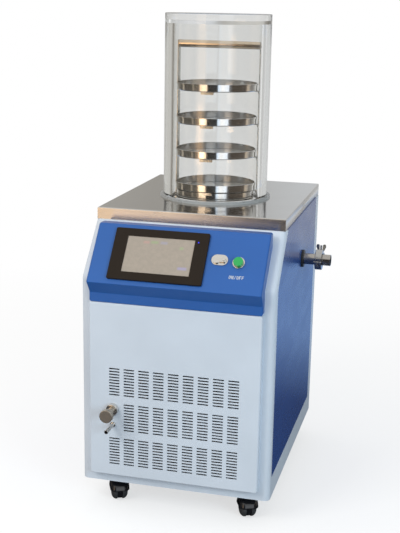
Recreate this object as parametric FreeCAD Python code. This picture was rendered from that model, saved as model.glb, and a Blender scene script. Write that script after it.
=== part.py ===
import FreeCAD, Part
import math
import os

# Bench-height freeze dryer on casters: a sheet-metal cabinet with a steel worktop, a cold trap under a
# clear bell jar with a rack of trays, a control console, a vent valve and a side vacuum port.
# Millimetres. While it is modelled, X = 0 is the cabinet's centre plane, Y = 0 the fascia's front plane
# and heights count from a level just under the floor. At the end the whole model moves so that it
# stands on Z = 0 with its box centred over the origin.

V = FreeCAD.Vector

# ---------------------------------------------------------------- driving dimensions
CABINET_WIDTH = 460.0
CABINET_DEPTH = 610.0
UNDERSIDE = 70.0             # height of the casing's lowest edge
CASING_TOP = 692.0
SLOPE_HEIGHT = 115.0         # the front slopes back over this height, below the casing's top
SLOPE_SETBACK = 104.0        # how far it slopes back by the casing's top
KNEE_RADIUS = 24.0
CASING_SHEET = 1.5
FIT = 0.5                    # gap left between neighbouring panels

FASCIA_EDGE_RADIUS = 14.0
FASCIA_RETURN = 22.0         # how far the fascia wraps round the sides
SIDE_SHEET = 1.2
SIDE_FLANGE = 12.0
REAR_RETURN = 45.0
REAR_FLANGE = 20.0           # depth of the rear panel's lower flange
REAR_EDGE_RADIUS = 6.0
BASE_WALL = 51.5             # height of the base pan's visible side walls
BASE_FLOOR = 2.0

WORKTOP_INSET = 3.0          # from the casing's sides
WORKTOP_LEDGE = 2.0          # behind the top of the slope
WORKTOP_OVERHANG = 12.0      # behind the casing
WORKTOP_HEIGHT = 28.0
WORKTOP_SHEET = 2.0
WORKTOP_EDGE_RADIUS = 3.0

PANEL_MARGIN = 26.0          # from the slotted front panel to the casing's sides
PANEL_RISE = 25.0            # from the casing's lowest edge to the panel
PANEL_DEPTH = 19.0
PANEL_SHEET = 1.2
PANEL_CORNER = 6.0
PANEL_EDGE = 3.0
PANEL_LAP = 12.0             # how far the panel laps over the fascia's window
SLOT_COLUMNS = 9
SLOT_COLUMN_PITCH = 35.7
SLOT_WIDTH = 25.5
SLOT_ROW_TOPS = (365.9, 278.6, 191.6)
SLOT_COUNT = 10
SLOT_PITCH = 7.12
SLOT_HEIGHT = 3.3
VALVE_ROW = 1                # the row and column of slots that the vent valve takes the place of
VALVE_COLUMN = 0

CONSOLE_SHEET = 2.5
CONSOLE_GAP = 1.0            # above the front panel
CONSOLE_DROP = 53.0          # the console's lowest edge below the knee
CONSOLE_STRIP = 22.0         # height of its upright lower strip
CONSOLE_TIP_REACH = 40.0     # how far the tip stands in front of the fascia
CONSOLE_TIP_DROP = 2.0       # the tip below the knee
CONSOLE_RISE = 2.0           # the console's top above the casing's
CONSOLE_LEDGE = 25.0         # depth of its flat top
CONSOLE_SETBACK = 24.0       # from its top's back edge to the top of the slope
CONSOLE_SIDE_RADIUS = 5.0

DISPLAY_X = -45.0            # across the console's face
BEZEL_WIDTH = 222.5
BEZEL_HEIGHT = 129.5
BEZEL_DEPTH = 6.0
BEZEL_CORNER = 4.0
SCREEN_WIDTH = 159.0
SCREEN_HEIGHT = 90.5
SCREEN_GLASS = 4.5
DISPLAY_BOX_WIDTH = 204.0
DISPLAY_BOX_HEIGHT = 118.0
DISPLAY_BOX_DEPTH = 32.0
LAMP_RADIUS = 1.6
LAMP_INSET = 23.25           # from the bezel's right edge
LAMP_RISE = 39.8             # above the display's centre, up the slope
LAMP_PROUD = 0.6

BUTTON_X = 141.0
BUTTON_RING_RADIUS = 14.3
BUTTON_RING_HEIGHT = 3.0
BUTTON_BARREL_RADIUS = 12.5
BUTTON_BARREL_DEPTH = 28.0
BUTTON_RADIUS = 11.2
BUTTON_CLEARANCE = 0.3
BUTTON_HEIGHT = 10.0
BUTTON_SKIRT = 8.0
BUTTON_WELL = 14.0

SOCKET_X = 97.3
SOCKET_RISE = 3.3            # above the display's centre, up the slope
SOCKET_PLATE_WIDTH = 38.0
SOCKET_PLATE_HEIGHT = 26.0
SOCKET_PLATE = 2.5
SOCKET_BODY_RADIUS = 8.0
SOCKET_BODY_DEPTH = 24.0
SOCKET_LEFT = -7.5           # the socket's centre, from the plate's centre
SOCKET_PORT_WIDTH = 9.0
SOCKET_PORT_HEIGHT = 6.0
SOCKET_PORT_DEPTH = 12.0
CAP_RADIUS = 9.8
CAP_THICKNESS = 4.0
CAP_PIVOT_X = 10.0           # the cap's pivot, from the plate's centre
CAP_ARM_RADIUS = 6.5
PIVOT_RADIUS = 2.5
PIVOT_HEAD_RADIUS = 4.2
PIVOT_HEAD = 1.6
PIVOT_CLEARANCE = 0.05
CAP_LIFT = 0.2               # air under and over the swinging cap

JAR_Y = 354.0                # the axis of the jar, rack and cold trap
JAR_OUTER_RADIUS = 131.0
JAR_WALL = 21.5
JAR_HEIGHT = 446.0           # seal to top, lid included
LID_THICKNESS = 25.0
SEAL_THICKNESS = 4.0
SEAL_RIM = 8.5               # from the jar's wall to the seal's edge
SEAL_LIP_HEIGHT = 6.5
SEAL_LIP_WIDTH = 2.5
SEAL_LIP_GAP = 0.2

TRAP_INSET = 19.5            # the trap's wall inside the jar's
TRAP_DEPTH = 160.0
TRAP_SHEET = 1.5
TRAP_FLANGE = 12.0
COIL_TUBE_RADIUS = 4.75
COIL_TURNS = 8
COIL_PITCH = 13.0
COIL_TOP_GAP = 14.0
COIL_GAP = 0.2
FOAM_WALL = 36.6             # thinnest foam beside the coil
FOAM_UNDER_TRAP = 22.0

TRAY_COUNT = 4
TRAY_SIDE_GAP = 9.5          # a tray's wall to the jar's
TRAY_HEIGHT = 18.0
TRAY_SHEET = 1.2
TRAY_FIRST_RIM = 42.0        # the lowest tray's rim above the worktop
TRAY_PITCH = 81.0
TRAY_HEM = 1.2               # the folded rim, outside the wall
TRAY_HEM_HEIGHT = 3.5

RACK_STRIP = 2.0
RACK_STRIP_WIDTH = 20.0
RACK_GAP = 1.9               # between a tray and the uprights
RACK_SUPPORT = 1.5
RACK_SUPPORT_WIDTH = 30.0
RACK_LIP = 6.0
RACK_RING_GAP = 3.5          # the foot ring to the jar's wall
RACK_RING_WIDTH = 13.0
RACK_RING_THICKNESS = 2.5
RACK_SKIRT_SHEET = 1.5
HANDLE_RADIUS = 8.8
HANDLE_WALL = 1.2
HANDLE_HEIGHT = 374.0        # above the worktop
HANDLE_SCREW_RADIUS = 3.0
HANDLE_SCREW_HEAD_RADIUS = 5.0
HANDLE_SCREW_HEAD = 1.8

VALVE_SHIFT = 3.2            # outwards from its column of slots
VALVE_DROP = 14.1            # below the top of its row of slots
VALVE_COLLAR_RADIUS = 14.5
VALVE_COLLAR_LENGTH = 12.0
VALVE_BODY_RADIUS = 11.0
VALVE_BODY_DEPTH = 44.0
VALVE_STEM_RADIUS = 4.0
VALVE_STEM_CLEARANCE = 0.05
KNOB_RADIUS = 15.7
KNOB_THICKNESS = 13.0
KNOB_FRONT = 53.0            # the knob's face in front of the panel
KNOB_HUB_RADIUS = 8.0
KNOB_HUB_GAP = 0.6
NOZZLE_DROP = 39.0
NOZZLE_RADIUS = 4.8
NOZZLE_BORE = 3.0
NOZZLE_LENGTH = 50.0
NOZZLE_BASE_RADIUS = 6.5
NOZZLE_BASE = 4.0
NOZZLE_TAIL = 22.0
VENT_PIPE_RUN = 26.0         # straight out of the valve's block before the pipe turns up

PORT_RISE = 12.0             # the vacuum port's axis above the trap's floor, on the jar's axis plane
PORT_TUBE_RADIUS = 14.0
PORT_TUBE_WALL = 1.5
PORT_MOUNT_RADIUS = 22.0
PORT_MOUNT_HEIGHT = 6.0
PORT_REACH = 36.0            # the tube's straight length outside the casing
KF_RADIUS = 20.0
KF_RIM = 3.0
KF_TAPER = 2.4
KF_TAPER_RADIUS = 16.5
KF_GAP = 3.9                 # held open by the centring ring
RING_BORE_RADIUS = 11.0
RING_SPIGOT = 2.6
HOSE_STUB = 22.0
CLAMP_RADIUS = 25.5
CLAMP_WIDTH = 17.0
CLAMP_AIR = 0.35
CLAMP_SPLIT = 3.0
CLAMP_LUG_REACH = 31.5       # hinge and bolt, from the port's axis
CLAMP_LUG_RADIUS = 5.0
CLAMP_PIN_RADIUS = 2.5
CLAMP_EYE_WIDTH = 6.0
BOLT_RADIUS = 2.5
BOLT_PIVOT_DROP = 12.0
BOLT_TOP = 30.0
LUG_SHELF = 10.0             # top of the upper half's bolt lug above the axis
NUT_HUB_RADIUS = 5.0
NUT_HUB_HEIGHT = 8.0
NUT_WING_REACH = 12.5
NUT_WING_TOP = 22.0
NUT_WING_THICKNESS = 3.4

CASTER_SIDE_INSET = 68.0     # kingpins from the casing's sides, front and back
CASTER_FRONT_INSET = 66.0
CASTER_REAR_INSET = 50.0
CASTER_ANGLES = (25.0, 24.0, 32.0, 16.0)   # front left, front right, rear left, rear right
CASTER_TRAIL = 18.0
CASTER_PLATE = 46.0
CASTER_PLATE_THICKNESS = 2.5
KINGPIN_RADIUS = 4.0
KINGPIN_LENGTH = 26.0
CASTER_CLEARANCE = 0.05
WHEEL_RADIUS = 25.0
WHEEL_WIDTH = 13.0
WHEEL_TREAD = 4.0            # width of a wheel's flat tread, next to the web
WHEEL_FACE_RADIUS = 9.0      # where its domed outer face turns flat
WHEEL_GAP = 0.5              # wheel to web
CASTER_HEIGHT = 69.0         # floor to the top of the casters' plates
WEB_THICKNESS = 12.0
WEB_RISE = 1.5               # the web above the wheels' treads
HOOD_CLEARANCE = 1.5
HOOD_SHELL = 2.5
NECK_RADIUS = 15.0
NECK_GAP = 0.3
AXLE_RADIUS = 3.0

COMPRESSOR_X = 60.0
COMPRESSOR_REAR_GAP = 170.0  # its axis to the back of the casing
COMPRESSOR_RADIUS = 74.0
COMPRESSOR_HEIGHT = 185.0
COMPRESSOR_SEAM = 4.0        # height and overhang of the can's weld seam
COMPRESSOR_SEAM_SHARE = 0.55
COMPRESSOR_FOOT = 200.0
COMPRESSOR_FOOT_DEPTH = 130.0
COMPRESSOR_FOOT_SHEET = 3.0
FOOT_HOLE_INSET = 18.0
GROMMET_RADIUS = 9.0
GROMMET_HEIGHT = 14.0
GROMMET_NECK = 5.0

CONDENSER_WIDTH = 280.0
CONDENSER_HEIGHT = 250.0
CONDENSER_DEPTH = 44.0
CONDENSER_Y = 62.0
CONDENSER_FINS = 28
FIN_THICKNESS = 1.2
CONDENSER_TUBE_RADIUS = 4.75
CONDENSER_TUBE_ROWS = 8
CONDENSER_PLATE = 2.0
FAN_SIZE = 230.0
FAN_DEPTH = 38.0
FAN_BORE_RADIUS = 106.0
FAN_HUB_RADIUS = 34.0
FAN_MOTOR_DEPTH = 14.0
FAN_TIP_CLEARANCE = 4.0
FAN_BLADES = 5
FAN_BLADE_ANGLE = 32.0
FAN_BLADE = 2.0
FAN_SPINDLE_RADIUS = 4.0
FAN_SPINDLE_CLEARANCE = 0.05
FAN_STRUT = 8.0

DRIER_X = 150.0
DRIER_Y = 250.0
DRIER_RADIUS = 13.0
DRIER_HEIGHT = 110.0
DRIER_FOOT = 12.0
PIPE_RADIUS = 4.0
PIPE_BEND = 13.0

BOX_WIDTH = 120.0
BOX_DEPTH = 170.0
BOX_HEIGHT = 210.0
BOX_SIDE_GAP = 24.0
BOX_REAR_GAP = 55.0
INLET_X = -120.0
INLET_Z = 150.0
INLET_WIDTH = 48.0
INLET_HEIGHT = 28.0
INLET_BODY_WIDTH = 27.0
INLET_BODY_HEIGHT = 20.0
INLET_BODY_DEPTH = 24.0
INLET_CAVITY_WIDTH = 24.0
INLET_CAVITY_HEIGHT = 16.5
INLET_CAVITY_DEPTH = 16.0
INLET_PLATE = 3.0
INLET_PIN = 2.0
INLET_PIN_SET_BACK = 3.0

REAR_GRILLE_COLUMNS = 6
REAR_GRILLE_PITCH = 46.0
REAR_GRILLE_SLOT = 34.0
REAR_GRILLE_ROWS = 16
REAR_GRILLE_ROW_PITCH = 11.0
REAR_GRILLE_SLOT_HEIGHT = 4.0
REAR_GRILLE_X = 70.0
REAR_GRILLE_TOP = 420.0
SCREW_RADIUS = 2.0
SCREW_HEAD_RADIUS = 4.0
SCREW_HEAD = 2.4
SCREW_LENGTH = 10.0
REAR_SCREW_INSET = 16.0
REAR_SCREW_ROWS = 3
REAR_SCREW_END = 41.0        # the first and last rows from the casing's edges

# ---------------------------------------------------------------- worked-out levels
HALF_WIDTH = CABINET_WIDTH / 2
KNEE = CASING_TOP - SLOPE_HEIGHT
WORKTOP = CASING_TOP + WORKTOP_HEIGHT
WORKTOP_HALF = HALF_WIDTH - WORKTOP_INSET
WORKTOP_FRONT = SLOPE_SETBACK + WORKTOP_LEDGE
WORKTOP_BACK = CABINET_DEPTH + WORKTOP_OVERHANG
PAN_FLOOR = UNDERSIDE + CASING_SHEET
PAN_TOP = PAN_FLOOR + BASE_FLOOR
BASE_WALL_TOP = UNDERSIDE + BASE_WALL
CONSOLE_BOTTOM = KNEE - CONSOLE_DROP
CONSOLE_STRIP_TOP = CONSOLE_BOTTOM + CONSOLE_STRIP
CONSOLE_TIP = KNEE - CONSOLE_TIP_DROP
CONSOLE_TOP = CASING_TOP + CONSOLE_RISE
CONSOLE_TOP_BACK = SLOPE_SETBACK - CONSOLE_SETBACK
CONSOLE_TOP_FRONT = CONSOLE_TOP_BACK - CONSOLE_LEDGE
PANEL_HALF = HALF_WIDTH - PANEL_MARGIN
PANEL_BOTTOM = UNDERSIDE + PANEL_RISE
PANEL_TOP = CONSOLE_BOTTOM - CONSOLE_GAP
PANEL_FACE = -PANEL_DEPTH
JAR_INNER_RADIUS = JAR_OUTER_RADIUS - JAR_WALL
TRAP_RADIUS = JAR_INNER_RADIUS - TRAP_INSET
TRAP_BOTTOM = WORKTOP - TRAP_DEPTH
TRAP_OUTER = TRAP_RADIUS + TRAP_SHEET
PORT_Z = TRAP_BOTTOM + PORT_RISE
JAR_BOTTOM = WORKTOP + SEAL_THICKNESS
SEAL_OUTER_RADIUS = JAR_OUTER_RADIUS + SEAL_RIM
TRAY_RADIUS = JAR_INNER_RADIUS - TRAY_SIDE_GAP
RACK_RING_OUTER = JAR_INNER_RADIUS - RACK_RING_GAP
RACK_RING_INNER = RACK_RING_OUTER - RACK_RING_WIDTH
RACK_INNER = TRAY_RADIUS + TRAY_HEM + RACK_GAP
HANDLE_Z = WORKTOP + HANDLE_HEIGHT
COIL_RADIUS = TRAP_OUTER + COIL_GAP + COIL_TUBE_RADIUS
FOAM_CAVITY = COIL_RADIUS + COIL_TUBE_RADIUS + COIL_GAP
FOAM_HALF_WIDTH = FOAM_CAVITY + FOAM_WALL
COIL_TOP = WORKTOP - WORKTOP_SHEET - COIL_TOP_GAP
CONSOLE_FACE_ANGLE = math.degrees(
    math.atan2(CONSOLE_TOP - CONSOLE_TIP, CONSOLE_TOP_FRONT + CONSOLE_TIP_REACH))
DISPLAY_S = math.hypot(CONSOLE_TOP - CONSOLE_TIP, CONSOLE_TOP_FRONT + CONSOLE_TIP_REACH) / 2
LAMP_X = DISPLAY_X + BEZEL_WIDTH / 2 - LAMP_INSET
LAMP_S = DISPLAY_S + LAMP_RISE
BUTTON_S = DISPLAY_S
SOCKET_S = DISPLAY_S + SOCKET_RISE
FACE = FreeCAD.Placement(
    V(0, -CONSOLE_TIP_REACH, CONSOLE_TIP), FreeCAD.Rotation(V(1, 0, 0), CONSOLE_FACE_ANGLE))
VALVE_X = (VALVE_COLUMN - (SLOT_COLUMNS - 1) / 2) * SLOT_COLUMN_PITCH - VALVE_SHIFT
VALVE_Z = SLOT_ROW_TOPS[VALVE_ROW] - VALVE_DROP
VALVE_COLLAR_FRONT = PANEL_FACE - VALVE_COLLAR_LENGTH
KNOB_FACE = PANEL_FACE - KNOB_FRONT
NOZZLE_Z = VALVE_Z - NOZZLE_DROP
KF_X = HALF_WIDTH + PORT_REACH + KF_TAPER + KF_RIM      # sealing face of the cabinet's own flange
CLAMP_X = KF_X + KF_GAP / 2
CASTER_X = HALF_WIDTH - CASTER_SIDE_INSET
CASTER_REAR_Y = CABINET_DEPTH - CASTER_REAR_INSET
AXLE_Z = PAN_FLOOR - CASTER_HEIGHT + WHEEL_RADIUS
WHEEL_INNER = WEB_THICKNESS / 2 + WHEEL_GAP
WHEEL_OUTER = WHEEL_INNER + WHEEL_WIDTH
PLATE_BOTTOM = PAN_FLOOR - CASTER_PLATE_THICKNESS
COMPRESSOR_Y = CABINET_DEPTH - COMPRESSOR_REAR_GAP
BOX_LEFT = -HALF_WIDTH + BOX_SIDE_GAP
BOX_Y = CABINET_DEPTH - BOX_REAR_GAP - BOX_DEPTH
FAN_Y = CONDENSER_Y + CONDENSER_DEPTH
FAN_Z = PAN_TOP + CONDENSER_HEIGHT / 2


def slope_y(z):
    """Depth of the fascia's outer face at height z, on the slope."""
    return SLOPE_SETBACK * (z - KNEE) / (CASING_TOP - KNEE)


def slope_z(y):
    """Height of the fascia's outer face at depth y, on the slope."""
    return KNEE + (CASING_TOP - KNEE) * y / SLOPE_SETBACK


# ---------------------------------------------------------------- helpers
def box(x0, x1, y0, y1, z0, z1):
    return Part.makeBox(x1 - x0, y1 - y0, z1 - z0, V(x0, y0, z0))


def rod(x, y, z, radius, length, axis):
    return Part.makeCylinder(radius, length, V(x, y, z), V(*axis))


def tube(x, y, z, outer, inner, length, axis):
    return rod(x, y, z, outer, length, axis).cut(rod(x, y, z, inner, length, axis))


def corner_arc(before, corner, after, radius):
    """Tangent points and middle of the arc that rounds a corner of a polyline."""
    a = (before - corner).normalize()
    b = (after - corner).normalize()
    half = math.acos(max(-1.0, min(1.0, a.dot(b)))) / 2
    reach = radius / math.tan(half)
    middle = (a + b).normalize() * (radius / math.sin(half) - radius)
    return corner + a * reach, corner + middle, corner + b * reach


def rounded_edges(points, radii, closed):
    """Straight and arc edges through the points, each corner rounded by its own radius."""
    count = len(points)
    marks = []
    for i, point in enumerate(points):
        inside = closed or 0 < i < count - 1
        if inside and radii[i] > 0:
            marks.append(corner_arc(points[i - 1], point, points[(i + 1) % count], radii[i]))
        else:
            marks.append((point, None, point))
    edges = []
    for i, (start, middle, end) in enumerate(marks):
        if middle is not None:
            edges.append(Part.Arc(start, middle, end).toShape())
        if closed or i < count - 1:
            following = marks[(i + 1) % count][0]
            if end.distanceToPoint(following) > 1e-6:
                edges.append(Part.LineSegment(end, following).toShape())
    return edges


def prism(profile, radii, x0, x1):
    """A (y, z) outline with rounded corners, extruded from x0 to x1."""
    points = [V(x0, y, z) for y, z in profile]
    wire = Part.Wire(rounded_edges(points, radii, True))
    return Part.Face(wire).extrude(V(x1 - x0, 0, 0))


def inset(profile, distances):
    """Move each side of a (y, z) outline inwards by its own distance (negative is outwards)."""
    count = len(profile)
    area = sum(profile[i][0] * profile[(i + 1) % count][1] - profile[(i + 1) % count][0] * profile[i][1]
               for i in range(count))
    turn = 1 if area > 0 else -1
    lines = []
    for i in range(count):
        (y0, z0), (y1, z1) = profile[i], profile[(i + 1) % count]
        length = math.hypot(y1 - y0, z1 - z0)
        dy, dz = (y1 - y0) / length, (z1 - z0) / length
        lines.append((y0 - dz * distances[i] * turn, z0 + dy * distances[i] * turn, dy, dz))
    result = []
    for i in range(count):
        py, pz, pdy, pdz = lines[i - 1]
        qy, qz, qdy, qdz = lines[i]
        t = ((qy - py) * qdz - (qz - pz) * qdy) / (pdy * qdz - pdz * qdy)
        result.append((py + pdy * t, pz + pdz * t))
    return result


def round_edges(shape, radius, wanted):
    """Fillet the edges whose middle passes the test."""
    edges = [edge for edge in shape.Edges
             if wanted(edge.valueAt((edge.FirstParameter + edge.LastParameter) / 2))]
    return shape.makeFillet(radius, edges)


def on_face(shape, x, s):
    """Carry a shape from the console face's own axes to its place on the face."""
    shape = shape.copy()
    shape.translate(V(x, s, 0))
    shape.Placement = FACE.multiply(shape.Placement)
    return shape


def pipe(points, radius, bend):
    """A round pipe along straight runs joined by tangent bends."""
    route = [V(*point) for point in points]
    path = Part.Wire(rounded_edges(route, [bend] * len(route), False))
    section = Part.Wire(Part.makeCircle(radius, route[0], route[1] - route[0]))
    return path.makePipeShell([section], True, True)


def plain_solid(shape):
    """The single solid of a boolean's result, with its seams merged."""
    shape = shape.removeSplitter()
    return shape.Solids[0] if len(shape.Solids) == 1 else shape


# ---------------------------------------------------------------- casing
FRONT_PROFILE = [(0, UNDERSIDE), (0, KNEE), (SLOPE_SETBACK, CASING_TOP)]


def front_fascia():
    back = SLOPE_SETBACK + 2 * FASCIA_RETURN
    outline = FRONT_PROFILE + [(back, CASING_TOP), (back, UNDERSIDE)]
    outer = prism(outline, [0, KNEE_RADIUS, 0, 0, 0], -HALF_WIDTH, HALF_WIDTH)
    sheet = CASING_SHEET
    hollow = inset(outline, [sheet, sheet, sheet, -sheet, sheet])
    inner_half = HALF_WIDTH - sheet
    inner = prism(hollow, [0, KNEE_RADIUS - sheet, 0, 0, 0], -inner_half, inner_half)

    def front_side(half, limit):
        def wanted(p):
            return abs(abs(p.x) - half) < 1e-3 and UNDERSIDE + 2 * sheet < p.z < CASING_TOP - 2 * sheet \
                and p.y < max(0.0, slope_y(p.z)) + limit
        return wanted

    outer = round_edges(outer, FASCIA_EDGE_RADIUS, front_side(HALF_WIDTH, 8))
    inner = round_edges(inner, FASCIA_EDGE_RADIUS - sheet, front_side(inner_half, 8))
    behind = [(y + FASCIA_RETURN, z) for y, z in FRONT_PROFILE]
    behind[0] = (behind[0][0], UNDERSIDE - 1)
    behind[2] = (slope_y(CASING_TOP + 1) + FASCIA_RETURN, CASING_TOP + 1)
    rest = prism(behind + [(2 * back, CASING_TOP + 1), (2 * back, UNDERSIDE - 1)],
                 [0, KNEE_RADIUS, 0, 0, 0], -HALF_WIDTH - 1, HALF_WIDTH + 1)
    window_half = PANEL_HALF - PANEL_LAP
    window = box(-window_half, window_half, -5, 5, PANEL_BOTTOM + PANEL_LAP, PANEL_TOP - PANEL_LAP)
    slope_window = box(-window_half, window_half, -5, SLOPE_SETBACK, CONSOLE_STRIP_TOP + PANEL_LAP,
                       slope_z(CONSOLE_TOP_BACK) - PANEL_LAP)
    return plain_solid(outer.cut(inner).cut(rest).cut(window).cut(slope_window))


def side_panel(side):
    """A flat sheet with its flanges folded inwards, open to the inside."""
    front = FASCIA_RETURN + FIT
    bottom = BASE_WALL_TOP + FIT
    back = CABINET_DEPTH - REAR_RETURN - FIT
    outline = [(front, bottom), (front, KNEE), (SLOPE_SETBACK + front, CASING_TOP),
               (back, CASING_TOP), (back, bottom)]
    radii = [0, KNEE_RADIUS, 0, 0, 0]
    outer = prism(outline, radii, HALF_WIDTH - SIDE_FLANGE, HALF_WIDTH)
    hollow = prism(inset(outline, [SIDE_SHEET] * len(outline)), [0, KNEE_RADIUS - SIDE_SHEET, 0, 0, 0],
                   HALF_WIDTH - SIDE_FLANGE - 1, HALF_WIDTH - SIDE_SHEET)
    panel = outer.cut(hollow)
    if side < 0:
        return panel.mirror(V(0, 0, 0), V(1, 0, 0))
    port = rod(HALF_WIDTH - SIDE_FLANGE, JAR_Y, PORT_Z, PORT_TUBE_RADIUS, 2 * SIDE_FLANGE, (1, 0, 0))
    return panel.cut(port)


def base_pan():
    front = CASING_SHEET
    back = CABINET_DEPTH - CASING_SHEET
    inner_half = HALF_WIDTH - CASING_SHEET
    pan = box(-inner_half, inner_half, front, back, PAN_FLOOR, PAN_TOP)

    def corner(y):
        def wanted(p):
            return abs(p.y - y) < 1e-3 and abs(abs(p.x) - inner_half) < 1e-3
        return wanted

    pan = round_edges(pan, FASCIA_EDGE_RADIUS, corner(front))
    pan = round_edges(pan, REAR_EDGE_RADIUS, corner(back))
    wall_front = FASCIA_RETURN + FIT
    wall_back = CABINET_DEPTH - REAR_RETURN - FIT
    for x in (-HALF_WIDTH, HALF_WIDTH - CASING_SHEET):
        wall = box(x, x + CASING_SHEET, wall_front, wall_back, UNDERSIDE, BASE_WALL_TOP)
        pan = pan.fuse(wall)
    for y in (wall_front, wall_back - CASING_SHEET):
        pan = pan.fuse(box(-inner_half, inner_half, y, y + CASING_SHEET, PAN_FLOOR, PAN_TOP + SIDE_FLANGE))
    for x, y, _ in caster_places():
        pan = pan.cut(rod(x, y, PAN_FLOOR - 1, KINGPIN_RADIUS, BASE_FLOOR + 2, (0, 0, 1)))
    return plain_solid(pan)


def rear_panel():
    front = CABINET_DEPTH - REAR_RETURN
    outer = box(-HALF_WIDTH, HALF_WIDTH, front, CABINET_DEPTH, UNDERSIDE, CASING_TOP)
    sheet = CASING_SHEET
    hollow = box(-HALF_WIDTH + sheet, HALF_WIDTH - sheet, front - 1, CABINET_DEPTH - sheet,
                 UNDERSIDE + sheet, CASING_TOP - sheet)

    def rear_corner(half, y):
        def wanted(p):
            return abs(abs(p.x) - half) < 1e-3 and abs(p.y - y) < 1e-3 \
                and UNDERSIDE + 9 < p.z < CASING_TOP - 9
        return wanted

    outer = round_edges(outer, REAR_EDGE_RADIUS, rear_corner(HALF_WIDTH, CABINET_DEPTH))
    hollow = round_edges(hollow, REAR_EDGE_RADIUS - sheet,
                         rear_corner(HALF_WIDTH - sheet, CABINET_DEPTH - sheet))
    opening = box(-HALF_WIDTH + sheet, HALF_WIDTH - sheet, front - 1, CABINET_DEPTH - REAR_FLANGE,
                  UNDERSIDE - 1, UNDERSIDE + 2 * sheet)
    panel = outer.cut(hollow).cut(opening)
    cuts = []
    for column in range(REAR_GRILLE_COLUMNS):
        x = REAR_GRILLE_X + (column - (REAR_GRILLE_COLUMNS - 1) / 2) * REAR_GRILLE_PITCH
        for row in range(REAR_GRILLE_ROWS):
            top = REAR_GRILLE_TOP - row * REAR_GRILLE_ROW_PITCH
            cuts.append(box(x - REAR_GRILLE_SLOT / 2, x + REAR_GRILLE_SLOT / 2, CABINET_DEPTH - 2 * sheet,
                            CABINET_DEPTH + 1, top - REAR_GRILLE_SLOT_HEIGHT, top))
    cuts.append(box(INLET_X - INLET_BODY_WIDTH / 2, INLET_X + INLET_BODY_WIDTH / 2,
                    CABINET_DEPTH - 2 * sheet, CABINET_DEPTH + 1,
                    INLET_Z - INLET_BODY_HEIGHT / 2, INLET_Z + INLET_BODY_HEIGHT / 2))
    for x, z in rear_screw_places():
        cuts.append(rod(x, CABINET_DEPTH - 2 * sheet, z, SCREW_RADIUS, 4 * sheet, (0, 1, 0)))
    return panel.cut(Part.makeCompound(cuts))


def rear_screw_places():
    reach = HALF_WIDTH - REAR_SCREW_INSET
    low = UNDERSIDE + REAR_SCREW_END
    step = (CASING_TOP - REAR_SCREW_END - low) / (REAR_SCREW_ROWS - 1)
    return [(side * reach, low + row * step) for side in (-1, 1) for row in range(REAR_SCREW_ROWS)]


def casing_screws():
    screws = []
    for x, z in rear_screw_places():
        head = rod(x, CABINET_DEPTH, z, SCREW_HEAD_RADIUS, SCREW_HEAD, (0, 1, 0))
        head = round_edges(head, SCREW_HEAD / 3, lambda p: p.y > CABINET_DEPTH + SCREW_HEAD / 2)
        shank = rod(x, CABINET_DEPTH - SCREW_LENGTH, z, SCREW_RADIUS, SCREW_LENGTH, (0, 1, 0))
        screws.append(head.fuse(shank))
    return Part.makeCompound(screws)


def front_panel():
    half = PANEL_HALF
    outer = box(-half, half, PANEL_FACE, 0, PANEL_BOTTOM, PANEL_TOP)
    sheet = PANEL_SHEET
    hollow = box(-half + sheet, half - sheet, PANEL_FACE + sheet, 1, PANEL_BOTTOM + sheet, PANEL_TOP - sheet)

    def upright(p):
        return PANEL_FACE / 2 - 2 < p.y < PANEL_FACE / 2 + 2

    outer = round_edges(outer, PANEL_CORNER, upright)
    outer = round_edges(outer, PANEL_EDGE, lambda p: abs(p.y - PANEL_FACE) < 1e-3)
    inner_middle = (PANEL_FACE + sheet + 1) / 2
    hollow = round_edges(hollow, PANEL_CORNER - sheet, lambda p: abs(p.y - inner_middle) < 1)
    hollow = round_edges(hollow, PANEL_EDGE - sheet, lambda p: abs(p.y - PANEL_FACE - sheet) < 1e-3)
    cuts = []
    for column in range(SLOT_COLUMNS):
        x = (column - (SLOT_COLUMNS - 1) / 2) * SLOT_COLUMN_PITCH
        for row, row_top in enumerate(SLOT_ROW_TOPS):
            if row == VALVE_ROW and column == VALVE_COLUMN:
                continue
            for i in range(SLOT_COUNT):
                top = row_top - i * SLOT_PITCH
                cuts.append(box(x - SLOT_WIDTH / 2, x + SLOT_WIDTH / 2,
                                PANEL_FACE - 1, PANEL_FACE + 2 * sheet, top - SLOT_HEIGHT, top))
    cuts.append(rod(VALVE_X, PANEL_FACE - 1, VALVE_Z, VALVE_BODY_RADIUS, 2 + sheet, (0, 1, 0)))
    cuts.append(rod(VALVE_X, PANEL_FACE - 1, NOZZLE_Z, NOZZLE_RADIUS, 2 + sheet, (0, 1, 0)))
    return outer.cut(hollow).cut(Part.makeCompound(cuts))


def worktop():
    half = WORKTOP_HALF
    sheet = WORKTOP_SHEET
    outer = box(-half, half, WORKTOP_FRONT, WORKTOP_BACK, CASING_TOP, WORKTOP)
    outer = round_edges(outer, WORKTOP_EDGE_RADIUS, lambda p: abs(p.z - WORKTOP) < 1e-3)
    hollow = box(-half + sheet, half - sheet, WORKTOP_FRONT + sheet, WORKTOP_BACK - sheet,
                 CASING_TOP - 1, WORKTOP - sheet)
    mouth = rod(0, JAR_Y, CASING_TOP, TRAP_RADIUS, WORKTOP_HEIGHT + 1, (0, 0, 1))
    return plain_solid(outer.cut(hollow).cut(mouth))


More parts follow.
